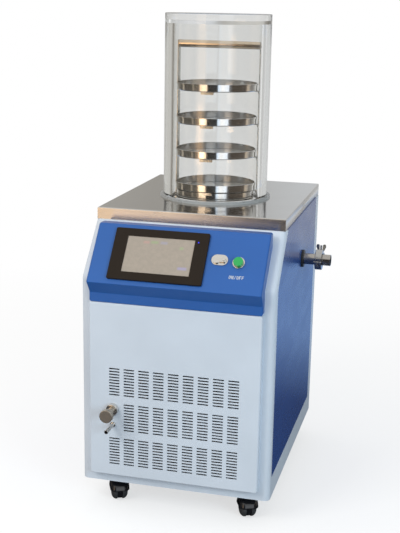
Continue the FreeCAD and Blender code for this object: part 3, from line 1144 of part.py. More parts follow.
def caster_wheels():
    """Twin wheels pressed on one axle."""
    reach = WHEEL_OUTER - 1
    solids = [rod(-reach, -CASTER_TRAIL, AXLE_Z, AXLE_RADIUS, 2 * reach, (1, 0, 0))]
    for side in (-1, 1):
        solids.append(wheel_body(side, WHEEL_INNER, 0, AXLE_RADIUS))
    return Part.makeCompound(solids)


# ---------------------------------------------------------------- refrigeration
def compressor():
    """The welded can with its foot plate and three pipe stubs."""
    foot_top = PAN_TOP + GROMMET_NECK + COMPRESSOR_FOOT_SHEET
    half = COMPRESSOR_FOOT / 2
    depth = COMPRESSOR_FOOT_DEPTH / 2
    foot = box(COMPRESSOR_X - half, COMPRESSOR_X + half, COMPRESSOR_Y - depth, COMPRESSOR_Y + depth,
               PAN_TOP + GROMMET_NECK, foot_top)
    for x, y in compressor_feet():
        foot = foot.cut(rod(x, y, PAN_TOP, GROMMET_NECK, 4 * GROMMET_NECK, (0, 0, 1)))
    can = rod(COMPRESSOR_X, COMPRESSOR_Y, foot_top, COMPRESSOR_RADIUS, COMPRESSOR_HEIGHT, (0, 0, 1))
    can = round_edges(can, 24.0, lambda p: p.z > foot_top + COMPRESSOR_HEIGHT / 2)
    seam_z = foot_top + COMPRESSOR_HEIGHT * COMPRESSOR_SEAM_SHARE
    seam = rod(COMPRESSOR_X, COMPRESSOR_Y, seam_z, COMPRESSOR_RADIUS + COMPRESSOR_SEAM, COMPRESSOR_SEAM,
               (0, 0, 1))
    terminal = box(COMPRESSOR_X - 22, COMPRESSOR_X + 22, COMPRESSOR_Y - COMPRESSOR_RADIUS - 22,
                   COMPRESSOR_Y - COMPRESSOR_RADIUS + 10, foot_top + 30, foot_top + 85)
    return plain_solid(foot.fuse(can).fuse(seam).fuse(terminal))


def compressor_feet():
    x = COMPRESSOR_FOOT / 2 - FOOT_HOLE_INSET
    y = COMPRESSOR_FOOT_DEPTH / 2 - FOOT_HOLE_INSET
    return [(COMPRESSOR_X + sx * x, COMPRESSOR_Y + sy * y) for sx in (-1, 1) for sy in (-1, 1)]


def compressor_mounts():
    """Four rubber grommets that carry the foot plate on the base pan."""
    mounts = []
    foot = PAN_TOP + GROMMET_NECK
    for x, y in compressor_feet():
        lower = rod(x, y, PAN_TOP, GROMMET_RADIUS, GROMMET_NECK, (0, 0, 1))
        neck = rod(x, y, PAN_TOP, GROMMET_NECK, GROMMET_HEIGHT, (0, 0, 1))
        upper = rod(x, y, foot + COMPRESSOR_FOOT_SHEET, GROMMET_RADIUS,
                    GROMMET_HEIGHT - GROMMET_NECK - COMPRESSOR_FOOT_SHEET, (0, 0, 1))
        mounts.append(plain_solid(lower.fuse(neck).fuse(upper)))
    return Part.makeCompound(mounts)


def condenser():
    """Fins on rows of tube between two end plates."""
    half = CONDENSER_WIDTH / 2
    back = CONDENSER_Y + CONDENSER_DEPTH
    top = PAN_TOP + CONDENSER_HEIGHT
    block = None
    for x in (-half, half - CONDENSER_PLATE):
        plate = box(x, x + CONDENSER_PLATE, CONDENSER_Y, back, PAN_TOP, top)
        block = plate if block is None else block.fuse(plate)
    pitch = CONDENSER_WIDTH / (CONDENSER_FINS + 1)
    fins = []
    for i in range(1, CONDENSER_FINS + 1):
        x = -half + i * pitch
        fins.append(box(x - FIN_THICKNESS / 2, x + FIN_THICKNESS / 2, CONDENSER_Y, back,
                        PAN_TOP + 6, top - 2))
    for row in range(CONDENSER_TUBE_ROWS):
        z = PAN_TOP + (row + 0.5) * CONDENSER_HEIGHT / CONDENSER_TUBE_ROWS
        fins.append(rod(-half - 8, CONDENSER_Y + CONDENSER_DEPTH / 2, z, CONDENSER_TUBE_RADIUS,
                        CONDENSER_WIDTH + 16, (1, 0, 0)))
    return plain_solid(block.fuse(fins))


def fan_frame():
    """Square moulded frame with a round duct, and the motor's can on three struts."""
    half = FAN_SIZE / 2
    frame = box(-half, half, FAN_Y, FAN_Y + FAN_DEPTH, FAN_Z - half, FAN_Z + half)
    frame = round_edges(frame, 8.0, lambda p: abs(p.y - FAN_Y - FAN_DEPTH / 2) < 1e-3)
    frame = frame.cut(rod(0, FAN_Y - 1, FAN_Z, FAN_BORE_RADIUS, FAN_DEPTH + 2, (0, 1, 0)))
    back = FAN_Y + FAN_DEPTH
    motor = rod(0, back - FAN_MOTOR_DEPTH, FAN_Z, FAN_HUB_RADIUS, FAN_MOTOR_DEPTH, (0, 1, 0))
    spindle = rod(0, FAN_Y + 6, FAN_Z, FAN_SPINDLE_RADIUS, FAN_DEPTH - 10, (0, 1, 0))
    for i in range(3):
        strut = box(-FAN_STRUT / 2, FAN_STRUT / 2, back - 4, back, 0, FAN_BORE_RADIUS + 4)
        strut.rotate(V(0, 0, 0), V(0, 1, 0), 30 + 120 * i)
        strut.translate(V(0, 0, FAN_Z))
        motor = motor.fuse(strut)
    return plain_solid(frame.fuse(motor).fuse(spindle))


def fan_blades():
    """Hub and twisted blades, turning on the motor's spindle."""
    front = FAN_Y + 3
    depth = FAN_DEPTH - FAN_MOTOR_DEPTH - 4
    hub = rod(0, front, FAN_Z, FAN_HUB_RADIUS, depth, (0, 1, 0))
    hub = round_edges(hub, 3.0, lambda p: p.y < front + 1)
    reach = FAN_BORE_RADIUS - FAN_TIP_CLEARANCE
    chord = depth / math.sin(math.radians(FAN_BLADE_ANGLE)) * 0.85
    tip = math.sqrt(reach ** 2 - (chord / 2) ** 2)
    middle = front + depth / 2
    blades = []
    for i in range(FAN_BLADES):
        blade = box(-chord / 2, chord / 2, -FAN_BLADE / 2, FAN_BLADE / 2, FAN_HUB_RADIUS - 6, tip)
        blade.rotate(V(0, 0, 0), V(0, 0, 1), FAN_BLADE_ANGLE)
        blade.translate(V(0, middle, 0))
        blade.rotate(V(0, 0, 0), V(0, 1, 0), 360.0 * i / FAN_BLADES)
        blade.translate(V(0, 0, FAN_Z))
        blades.append(blade)
    fan = hub.fuse(blades)
    bore = rod(0, front + 2, FAN_Z, FAN_SPINDLE_RADIUS + FAN_SPINDLE_CLEARANCE, depth, (0, 1, 0))
    return plain_solid(fan.cut(bore))


def filter_drier():
    body = rod(DRIER_X, DRIER_Y, PAN_TOP + DRIER_FOOT, DRIER_RADIUS, DRIER_HEIGHT, (0, 0, 1))
    body = round_edges(body, 6.0, lambda p: True)
    neck = rod(DRIER_X, DRIER_Y, PAN_TOP, PIPE_RADIUS, DRIER_HEIGHT + 2 * DRIER_FOOT, (0, 0, 1))
    return plain_solid(body.fuse(neck))


def refrigerant_pipes():
    """Discharge, liquid and suction lines, each a pipe with tangent bends."""
    can_top = PAN_TOP + GROMMET_NECK + COMPRESSOR_FOOT_SHEET + COMPRESSOR_HEIGHT
    stub = CONDENSER_WIDTH / 2 + 8
    tube_y = CONDENSER_Y + CONDENSER_DEPTH / 2
    pitch = CONDENSER_HEIGHT / CONDENSER_TUBE_ROWS
    upper = PAN_TOP + CONDENSER_HEIGHT - pitch / 2
    lower = PAN_TOP + pitch / 2
    coil_bottom = COIL_TOP - COIL_TURNS * COIL_PITCH - COIL_TUBE_RADIUS
    discharge = pipe([(COMPRESSOR_X - 30, COMPRESSOR_Y, can_top),
                      (COMPRESSOR_X - 30, COMPRESSOR_Y, can_top + 60),
                      (stub + 30, COMPRESSOR_Y - 120, can_top + 60), (stub + 30, tube_y, can_top + 60),
                      (stub + 30, tube_y, upper), (stub, tube_y, upper)], PIPE_RADIUS, PIPE_BEND)
    drier_top = PAN_TOP + DRIER_HEIGHT + 2 * DRIER_FOOT
    liquid = pipe([(stub, tube_y, lower), (stub + 24, tube_y, lower), (stub + 24, DRIER_Y - 40, lower),
                   (stub + 24, DRIER_Y - 40, drier_top + 40), (DRIER_X, DRIER_Y, drier_top + 40),
                   (DRIER_X, DRIER_Y, drier_top)], PIPE_RADIUS, PIPE_BEND)
    suction = pipe([(-COIL_RADIUS, JAR_Y, coil_bottom), (-COIL_RADIUS, JAR_Y, can_top + 110),
                    (COMPRESSOR_X + 30, COMPRESSOR_Y, can_top + 90),
                    (COMPRESSOR_X + 30, COMPRESSOR_Y, can_top)], PIPE_RADIUS, PIPE_BEND)
    return Part.makeCompound([discharge, liquid, suction])


# ---------------------------------------------------------------- electrics
def control_box():
    shell = box(BOX_LEFT, BOX_LEFT + BOX_WIDTH, BOX_Y, BOX_Y + BOX_DEPTH, PAN_TOP, PAN_TOP + BOX_HEIGHT)
    return round_edges(shell, 3.0, lambda p: p.z > PAN_TOP + BOX_HEIGHT / 4)


def power_inlet():
    """Flanged appliance inlet with three flat pins; the lead is separate."""
    half_w, half_h = INLET_WIDTH / 2, INLET_HEIGHT / 2
    back = CABINET_DEPTH
    plate = box(INLET_X - half_w, INLET_X + half_w, back, back + INLET_PLATE,
                INLET_Z - half_h, INLET_Z + half_h)
    plate = round_edges(plate, 6.0, lambda p: abs(p.y - back - INLET_PLATE / 2) < 1e-3)
    body = box(INLET_X - INLET_BODY_WIDTH / 2, INLET_X + INLET_BODY_WIDTH / 2, back - INLET_BODY_DEPTH, back,
               INLET_Z - INLET_BODY_HEIGHT / 2, INLET_Z + INLET_BODY_HEIGHT / 2)
    floor = back + INLET_PLATE - INLET_CAVITY_DEPTH
    cavity = box(INLET_X - INLET_CAVITY_WIDTH / 2, INLET_X + INLET_CAVITY_WIDTH / 2,
                 floor, back + INLET_PLATE + 1,
                 INLET_Z - INLET_CAVITY_HEIGHT / 2, INLET_Z + INLET_CAVITY_HEIGHT / 2)
    inlet = plate.fuse(body).cut(cavity)
    for x, z in ((-7, -2), (0, 2), (7, -2)):
        pin = box(INLET_X + x - INLET_PIN / 2, INLET_X + x + INLET_PIN / 2,
                  floor - 1, back - INLET_PIN_SET_BACK, INLET_Z + z - INLET_PIN, INLET_Z + z + INLET_PIN)
        inlet = inlet.fuse(pin)
    return plain_solid(inlet)


# ---------------------------------------------------------------- the whole machine
def build():
    nodes = {
        "base_pan": base_pan(),
        "front_fascia": front_fascia(),
        "side_panel_left": side_panel(-1),
        "side_panel_right": side_panel(1),
        "rear_panel": rear_panel(),
        "front_panel": front_panel(),
        "console_cover": console_cover(),
        "worktop": worktop(),
        "casing_screws": casing_screws(),
        "display_bezel": display_bezel(),
        "display_glass": display_glass(),
        "display_housing": display_housing(),
        "status_lamp": status_lamp(),
        "button_housing": button_housing(),
        "button_cap": button_cap(),
        "data_socket": data_socket(),
        "socket_cap": socket_cap(),
        "cold_trap": cold_trap(),
        "trap_coil": trap_coil(),
        "trap_insulation": trap_insulation(),
        "jar_seal": jar_seal(),
        "jar_cylinder": jar_cylinder(),
        "jar_lid": jar_lid(),
        "tray_rack": tray_rack(),
        "rack_handle": rack_handle(),
        "vent_valve_body": vent_valve_body(),
        "vent_valve_knob": vent_valve_knob(),
        "vent_nozzle": vent_nozzle(),
        "vent_pipe": vent_pipe(),
        "port_mount": port_mount(),
        "port_pipe": port_pipe(),
        "hose_pipe": hose_pipe(),
        "centring_ring": centring_ring(),
        "clamp_lower": clamp_lower(),
        "clamp_upper": clamp_upper(),
        "clamp_pin": clamp_pin(),
        "clamp_bolt": clamp_bolt(),
        "wing_nut": wing_nut(),
        "compressor": compressor(),
        "compressor_mounts": compressor_mounts(),
        "condenser": condenser(),
        "fan_frame": fan_frame(),
        "fan_blades": fan_blades(),
        "filter_drier": filter_drier(),
        "refrigerant_pipes": refrigerant_pipes(),
        "control_box": control_box(),
        "power_inlet": power_inlet(),
        "caster_mounts": caster_mounts(),
    }
    for index in range(TRAY_COUNT):
        nodes[f"tray_{index + 1}"] = tray(index)
    hood = caster_hood()
    wheels = caster_wheels()
    for number, place in enumerate(caster_places(), 1):
        nodes[f"caster_hood_{number}"] = placed(hood, place)
        nodes[f"caster_wheels_{number}"] = placed(wheels, place)
    return nodes


def row_shift(nodes):
    """The move that centres the whole model's box over the origin."""
    whole = FreeCAD.BoundBox()
    for shape in nodes.values():
        whole.add(shape.optimalBoundingBox(False))
    return V(-(whole.XMin + whole.XMax) / 2, -(whole.YMin + whole.YMax) / 2, -whole.ZMin)


NODES = build()
SHIFT = row_shift(NODES)
os.makedirs("parts", exist_ok=True)
for name, shape in NODES.items():
    shape.translate(SHIFT)
    shape.exportStep(f"parts/{name}.step")
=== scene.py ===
import math

import bmesh
import bpy
import numpy as np
from mathutils import Matrix, Vector

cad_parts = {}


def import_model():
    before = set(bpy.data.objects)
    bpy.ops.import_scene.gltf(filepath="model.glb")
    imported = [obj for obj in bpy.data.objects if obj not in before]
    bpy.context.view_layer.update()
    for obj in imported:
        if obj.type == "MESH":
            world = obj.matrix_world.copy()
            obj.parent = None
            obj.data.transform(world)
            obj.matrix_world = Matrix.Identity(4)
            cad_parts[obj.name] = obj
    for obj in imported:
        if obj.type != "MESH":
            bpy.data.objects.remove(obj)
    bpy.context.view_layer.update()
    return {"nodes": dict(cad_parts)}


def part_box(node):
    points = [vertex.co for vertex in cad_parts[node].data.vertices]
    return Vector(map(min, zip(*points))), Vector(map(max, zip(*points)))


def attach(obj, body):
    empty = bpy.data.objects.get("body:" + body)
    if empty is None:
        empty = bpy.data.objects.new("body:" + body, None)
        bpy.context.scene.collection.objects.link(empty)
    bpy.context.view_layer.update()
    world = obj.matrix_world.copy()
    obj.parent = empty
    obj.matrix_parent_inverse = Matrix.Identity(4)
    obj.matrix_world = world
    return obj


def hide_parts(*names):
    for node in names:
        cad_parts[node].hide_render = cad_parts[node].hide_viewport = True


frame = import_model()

NODES = frame["nodes"]

# ---------------------------------------------------------------- places taken from the frame, in metres
fascia_low, fascia_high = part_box("front_fascia")
MIDDLE_X = (fascia_low.x + fascia_high.x) / 2
FRONT_Y = fascia_low.y
jar_low, jar_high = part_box("jar_cylinder")
lid_low, lid_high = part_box("jar_lid")
JAR_X = (jar_low.x + jar_high.x) / 2
JAR_Y = (jar_low.y + jar_high.y) / 2
JAR_WALL = 0.0215            # between the jar's outer and inner faces
JAR_ROUNDING = 0.0015        # the radius of its turned edges
WORKTOP_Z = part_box("worktop")[1].z
FLANGE_BEND = 0.001          # how far the worktop's flange begins under its face
tray_low, tray_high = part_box("tray_1")
TRAY_EDGE = (tray_high.x - tray_low.x) / 2
TRAY_RIM = 0.003             # a tray's hem and wall together


# ---------------------------------------------------------------- node graphs
class Graph:
    """Short names for building one node tree."""

    def __init__(self, tree):
        self.tree = tree

    def node(self, kind, inputs=None, **settings):
        made = self.tree.nodes.new("ShaderNode" + kind)
        for name, value in settings.items():
            setattr(made, name, value)
        for name, value in (inputs or {}).items():
            self.feed(value, made.inputs[name])
        return made

    def feed(self, value, socket):
        if isinstance(value, bpy.types.NodeSocket):
            self.tree.links.new(value, socket)
        else:
            socket.default_value = value

    def math(self, operation, first, second=0.0, third=0.0, clamp=False):
        inputs = {0: first, 1: second, 2: third}
        return self.node("Math", inputs, operation=operation, use_clamp=clamp).outputs[0]

    def mix(self, factor, first, second, blend="MIX"):
        made = self.node("Mix", data_type="RGBA", blend_type=blend)
        self.feed(factor, made.inputs[0])
        self.feed(first, made.inputs[6])
        self.feed(second, made.inputs[7])
        return made.outputs[2]

    def ramp(self, value, stops):
        made = self.node("ValToRGB", {0: value})
        points = made.color_ramp.elements
        while len(points) < len(stops):
            points.new(0.5)
        for point, (place, colour) in zip(points, stops):
            point.position = place
            point.color = (*colour, 1)
        return made.outputs[0]

    def noise(self, vector, scale, detail=3.0, roughness=0.5):
        return self.node("TexNoise", {"Vector": vector, "Scale": scale, "Detail": detail,
                                      "Roughness": roughness}).outputs["Fac"]

    def spread(self, value, low, high, new_low, new_high):
        return self.node("MapRange", {0: value, 1: low, 2: high, 3: new_low, 4: new_high}).outputs[0]

    def band(self, value, low, high, soft):
        """1 between low and high, falling to 0 over soft on each side."""
        rise = self.spread(value, low - soft, low, 0.0, 1.0)
        return self.math("MULTIPLY", rise, self.spread(value, high, high + soft, 1.0, 0.0))

    def scaled(self, vector, scale, rotation=(0, 0, 0)):
        return self.node("Mapping", {"Vector": vector, "Scale": scale, "Rotation": rotation}).outputs[0]


def group(name, inputs, outputs):
    """An empty node group with float, vector or colour sockets, and its graph and two ends."""
    tree = bpy.data.node_groups.new(name, "ShaderNodeTree")
    kinds = {"f": "NodeSocketFloat", "v": "NodeSocketVector", "c": "NodeSocketColor"}
    for title, kind in inputs:
        tree.interface.new_socket(title, in_out="INPUT", socket_type=kinds[kind])
    for title, kind in outputs:
        tree.interface.new_socket(title, in_out="OUTPUT", socket_type=kinds[kind])
    graph = Graph(tree)
    return graph, tree.nodes.new("NodeGroupInput").outputs, tree.nodes.new("NodeGroupOutput").inputs


def powder_coat_group():
    """Sprayed and baked paint: faint cloudiness, fine orange peel and sparse dust."""
    g, i, o = group("powder_coat", [("Vector", "v"), ("Color", "c"), ("Roughness", "f"), ("Peel", "f"),
                                    ("Dust", "f")], [("Color", "c"), ("Roughness", "f"), ("Normal", "v")])
    cloud = g.spread(g.noise(i["Vector"], 7.0, 4.0), 0.3, 0.7, 0.965, 1.03)
    shade = g.node("CombineColor", {0: cloud, 1: cloud, 2: cloud}).outputs[0]
    tinted = g.mix(1.0, i["Color"], shade, "MULTIPLY")
    specks = g.spread(g.noise(i["Vector"], 420.0, 2.0), 0.66, 0.74, 0.0, 1.0)
    dusty = g.math("MULTIPLY", specks, i["Dust"])
    g.feed(g.mix(dusty, tinted, (0.62, 0.61, 0.58, 1)), o["Color"])
    wiped = g.spread(g.noise(g.scaled(i["Vector"], (1, 1, 3)), 9.0, 3.0), 0.3, 0.7, -0.02, 0.03)
    uneven = g.math("ADD", wiped, g.math("MULTIPLY", dusty, 0.3))
    g.feed(g.math("ADD", i["Roughness"], uneven), o["Roughness"])
    peel = g.node("Bump", {"Strength": i["Peel"], "Distance": 0.00006,
                           "Height": g.noise(i["Vector"], 650.0, 2.0)})
    g.feed(peel.outputs[0], o["Normal"])
    return g.tree


def brushed_group():
    """Brushed or rolled metal: hairlines along the vector's first axis, smears and small scratches."""
    g, i, o = group("brushed_metal", [("Vector", "v"), ("Color", "c"), ("Roughness", "f"), ("Lines", "f"),
                                      ("Smear", "f")], [("Color", "c"), ("Roughness", "f"), ("Normal", "v")])
    fine = g.noise(g.scaled(i["Vector"], (12, 900, 900)), 1.0, 3.0, 0.6)
    coarse = g.noise(g.scaled(i["Vector"], (3, 160, 160)), 1.0, 2.0)
    lines = g.math("ADD", g.math("MULTIPLY", fine, 0.7), g.math("MULTIPLY", coarse, 0.3))
    tone = g.spread(lines, 0.3, 0.7, 0.93, 1.05)
    shade = g.node("CombineColor", {0: tone, 1: tone, 2: tone}).outputs[0]
    g.feed(g.mix(1.0, i["Color"], shade, "MULTIPLY"), o["Color"])
    smear = g.spread(g.noise(i["Vector"], 14.0, 5.0, 0.6), 0.35, 0.7, -0.5, 1.0)
    rough = g.math("ADD", i["Roughness"], g.math("MULTIPLY", smear, i["Smear"]))
    g.feed(g.math("ADD", rough, g.spread(lines, 0.3, 0.7, -0.03, 0.03), clamp=True), o["Roughness"])
    bump = g.node("Bump", {"Strength": i["Lines"], "Distance": 0.00003, "Height": lines})
    g.feed(bump.outputs[0], o["Normal"])
    return g.tree


def moulded_group():
    """Moulded plastic or rubber: fine spark-eroded grain, faint flow marks and handling shine."""
    g, i, o = group("moulded", [("Vector", "v"), ("Color", "c"), ("Roughness", "f"), ("Grain", "f"),
                                ("Scuff", "f")], [("Color", "c"), ("Roughness", "f"), ("Normal", "v")])
    rubbed = g.spread(g.noise(i["Vector"], 55.0, 6.0, 0.7), 0.55, 0.75, 0.0, 1.0)
    scuff = g.math("MULTIPLY", rubbed, i["Scuff"])
    g.feed(g.mix(scuff, i["Color"], (0.45, 0.44, 0.42, 1)), o["Color"])
    shine = g.spread(g.noise(i["Vector"], 30.0, 3.0), 0.35, 0.65, -0.05, 0.05)
    rough = g.math("ADD", i["Roughness"], shine)
    g.feed(g.math("ADD", rough, g.math("MULTIPLY", scuff, 0.5)), o["Roughness"])
    grain = g.node("Bump", {"Strength": i["Grain"], "Distance": 0.00005,
                            "Height": g.noise(i["Vector"], 1400.0, 2.0)})
    g.feed(grain.outputs[0], o["Normal"])
    return g.tree


POWDER_COAT = powder_coat_group()
BRUSHED = brushed_group()
MOULDED = moulded_group()


def above(level):
    """0 under a height of the object and 1 over it."""
    def mask(g, where):
        height = g.node("SeparateXYZ", {0: where}).outputs[2]
        return g.spread(height, level - 0.0003, level + 0.0003, 0.0, 1.0)
    return mask


def outside(x, y, radius):
    """0 nearer to an upright axis than the radius and 1 further off."""
    def mask(g, where):
        flat = g.node("VectorMath", {0: where, 1: (1, 1, 0)}, operation="MULTIPLY").outputs[0]
        away = g.node("VectorMath", {0: flat, 1: (x, y, 0)}, operation="DISTANCE").outputs["Value"]
        return g.spread(away, radius - 0.0003, radius + 0.0003, 0.0, 1.0)
    return mask


def two(mask, first, second):
    """A shader input that is first where the mask is 0 and second where it is 1."""
    def value(g, where):
        if isinstance(first, tuple):
            return g.mix(mask(g, where), (*first, 1), (*second, 1))
        return g.spread(mask(g, where), 0.0, 1.0, first, second)
    return value


def surface(name, finish, vector_scale=(1, 1, 1), turn=(0, 0, 0), shader=None, **inputs):
    """A material whose Principled shader takes colour, roughness and normal from one finish group."""
    material = bpy.data.materials.new(name)
    material.use_nodes = True
    tree = material.node_tree
    g = Graph(tree)
    bsdf = tree.nodes["Principled BSDF"]
    coordinates = g.node("TexCoord").outputs["Object"]
    made = g.node("Group", node_tree=finish)
    g.feed(g.scaled(coordinates, vector_scale, turn), made.inputs["Vector"])
    for title, value in inputs.items():
        if callable(value):
            g.feed(value(g, coordinates), made.inputs[title])
        else:
            made.inputs[title].default_value = (*value, 1) if title == "Color" else value
    for title, target in (("Color", "Base Color"), ("Roughness", "Roughness"), ("Normal", "Normal")):
        g.feed(made.outputs[title], bsdf.inputs[target])
    for title, value in (shader or {}).items():
        if callable(value):
            g.feed(value(g, coordinates), bsdf.inputs[title])
        else:
            bsdf.inputs[title].default_value = value
    return material


def hairline_tangent(material):
    """Spreads the gloss across hairlines that run along X."""
    g = Graph(material.node_tree)
    tangent = g.node("Tangent", direction_type="RADIAL", axis="X").outputs[0]
    g.feed(tangent, material.node_tree.nodes["Principled BSDF"].inputs["Tangent"])


METAL = {"Metallic": 1.0}
TRAY_WALL = outside(JAR_X, JAR_Y, TRAY_EDGE - TRAY_RIM)
OVER_SKIRT = above(tray_low.z)
WHITE_PAINT = surface("white_powder_coat", POWDER_COAT,
                      Color=(0.715, 0.775, 0.85), Roughness=0.38, Peel=0.25, Dust=0.02)
SIDE_PAINT = surface("blue_side_paint", POWDER_COAT,
                     Color=(0.026, 0.085, 0.31), Roughness=0.27, Peel=0.15, Dust=0.01)
CONSOLE_PAINT = surface("blue_console_paint", POWDER_COAT,
                        Color=(0.023, 0.122, 0.415), Roughness=0.34, Peel=0.2, Dust=0.02)
BLACK_ENAMEL = surface("black_enamel", POWDER_COAT,
                       Color=(0.016, 0.016, 0.017), Roughness=0.24, Peel=0.4, Dust=0.06)
GREY_ENAMEL = surface("grey_enamel", POWDER_COAT,
                      Color=(0.30, 0.31, 0.32), Roughness=0.45, Peel=0.3, Dust=0.04)

# The worktop's face is polished, and its folded flange is rougher across the hairlines.
WORKTOP_STEEL = surface("worktop_steel", BRUSHED, Color=(0.60, 0.59, 0.575), Lines=0.15, Smear=0.03,
                        Roughness=two(above(WORKTOP_Z - FLANGE_BEND), 0.25, 0.09),
                        shader={"Metallic": 1.0, "Anisotropic": 0.9})
hairline_tangent(WORKTOP_STEEL)
# A tray's wall and rim are polished, and the floor inside is satin.
TRAY_STEEL = surface("tray_steel", BRUSHED, (1, 1, 4), Lines=0.08, Smear=0.03,
                     Color=two(TRAY_WALL, (0.86, 0.86, 0.845), (0.78, 0.77, 0.75)),
                     Roughness=two(TRAY_WALL, 0.34, 0.09),
                     shader={"Metallic": two(TRAY_WALL, 0.2, 1.0)})
# The rack's skirt, under the trays, is polished like their walls.
RACK_STEEL = surface("rack_steel", BRUSHED, (1, 1, 1), (0, math.pi / 2, 0), Lines=0.15, Smear=0.04,
                     Color=two(OVER_SKIRT, (0.78, 0.77, 0.75), (0.55, 0.55, 0.52)),
                     Roughness=two(OVER_SKIRT, 0.09, 0.26), shader=METAL)
HANDLE_STEEL = surface("handle_steel", BRUSHED,
                       Color=(0.76, 0.64, 0.50), Roughness=0.22, Lines=0.15, Smear=0.05, shader=METAL)
TRAP_STEEL = surface("trap_steel", BRUSHED, (1, 1, 3),
                     Color=(0.58, 0.57, 0.55), Roughness=0.3, Lines=0.2, Smear=0.08, shader=METAL)
ZINC = surface("zinc_plate", BRUSHED, (6, 6, 6),
               Color=(0.58, 0.58, 0.60), Roughness=0.3, Lines=0.1, Smear=0.1, shader=METAL)
NICKEL = surface("nickel_plate", BRUSHED, (4, 4, 4),
                 Color=(0.74, 0.72, 0.68), Roughness=0.14, Lines=0.05, Smear=0.05, shader=METAL)
# The port's pipe, hose pipe, centring ring and wing nut are a darkened copy of the plated steel: their dark
# colour is partly painted shade, standing in for the dark room these parts mirror.
PORT_STEEL = surface("port_steel", BRUSHED, (4, 4, 4),
                     Color=(0.44, 0.42, 0.39), Roughness=0.13, Lines=0.05, Smear=0.04, shader=METAL)
KNOB_STEEL = surface("turned_knob", BRUSHED, (30, 30, 30), Color=(0.50, 0.45, 0.38), Roughness=0.38,
                     Lines=0.4, Smear=0.08, shader={"Metallic": 0.85})
CAST_ALUMINIUM = surface("cast_aluminium", BRUSHED, (20, 1, 1),
                         Color=(0.48, 0.48, 0.47), Roughness=0.24, Lines=0.25, Smear=0.08, shader=METAL)
FIN_ALUMINIUM = surface("fin_aluminium", BRUSHED, (8, 8, 1),
                        Color=(0.62, 0.63, 0.65), Roughness=0.4, Lines=0.1, Smear=0.1, shader=METAL)
COPPER = surface("drawn_copper", BRUSHED, (3, 3, 3),
                 Color=(0.62, 0.30, 0.17), Roughness=0.3, Lines=0.1, Smear=0.12, shader=METAL)

BEZEL_PLASTIC = surface("bezel_plastic", MOULDED, Color=(0.020, 0.013, 0.008), Roughness=0.42, Grain=0.2,
                        Scuff=0.01, shader={"Specular IOR Level": 0.2})
BLACK_PLASTIC = surface("black_plastic", MOULDED,
                        Color=(0.022, 0.022, 0.024), Roughness=0.45, Grain=0.3, Scuff=0.03)
CASTER_PLASTIC = surface("caster_plastic", MOULDED, Color=(0.008, 0.008, 0.010), Roughness=0.15, Grain=0.06,
                         Scuff=0.02, shader={"Specular IOR Level": 0.7})
TREAD = surface("caster_tread", MOULDED, Color=(0.045, 0.046, 0.048), Roughness=0.5, Grain=0.3, Scuff=0.12)
SEAL_RUBBER = surface("seal_rubber", MOULDED, Color=(0.60, 0.61, 0.60), Roughness=0.28, Grain=0.15,
                      Scuff=0.01, shader={"Transmission Weight": 0.3, "IOR": 1.41})
GROMMET_RUBBER = surface("grommet_rubber", MOULDED,
                         Color=(0.02, 0.02, 0.02), Roughness=0.7, Grain=0.5, Scuff=0.05)
FOAM = surface("foam_block", MOULDED, Color=(0.62, 0.54, 0.30), Roughness=0.85, Grain=1.0, Scuff=0.05)
HOSE = surface("milky_hose", MOULDED, Color=(0.55, 0.56, 0.53), Roughness=0.35, Grain=0.1, Scuff=0.05)
LAMP = surface("lamp_lens", MOULDED, Color=(0.02, 0.03, 0.80), Roughness=0.2, Grain=0.05, Scuff=0.0,
               shader={"Emission Color": (0.02, 0.04, 1.0, 1), "Emission Strength": 0.5})
GREEN_LENS = surface("green_lens", MOULDED, Color=(0.01, 0.42, 0.09), Roughness=0.16, Grain=0.02,
                     Scuff=0.0, shader={"Coat Weight": 0.6, "Coat Roughness": 0.05})


def screen_picture(g, where):
    """A pale, slightly mottled display with a few faint tinted fields, placed by fractions of its face."""
    low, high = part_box("display_glass")
    across = g.spread(g.node("SeparateXYZ", {0: where}).outputs[0], low.x, high.x, 0.0, 1.0)
    down = g.spread(g.node("SeparateXYZ", {0: where}).outputs[2], high.z, low.z, 0.0, 1.0)
    mottle = g.spread(g.noise(where, 110.0, 3.0, 0.6), 0.35, 0.65, 0.0, 1.0)
    colour = g.mix(mottle, (0.44, 0.365, 0.295, 1), (0.40, 0.34, 0.275, 1))
    fields = [(0.29, 0.14, 0.030, (0.52, 0.35, 0.29)), (0.41, 0.13, 0.040, (0.38, 0.41, 0.25)),
              (0.55, 0.13, 0.035, (0.41, 0.37, 0.40)), (0.82, 0.24, 0.010, (0.40, 0.43, 0.26)),
              (0.88, 0.77, 0.050, (0.42, 0.37, 0.50))]
    for x, y, half, tint in fields:
        inside = g.math("MULTIPLY", g.band(across, x - half, x + half, 0.03),
                        g.band(down, y - 0.02, y + 0.02, 0.03))
        colour = g.mix(inside, colour, (*tint, 1))
    return colour


SCREEN = surface("screen_face", MOULDED, Color=screen_picture, Roughness=0.2, Grain=0.03, Scuff=0.0,
                 shader={"Coat Weight": 0.3, "Coat Roughness": 0.1})
PRINT = surface("white_print", MOULDED, Color=(0.66, 0.66, 0.68), Roughness=0.5, Grain=0.1, Scuff=0.02)


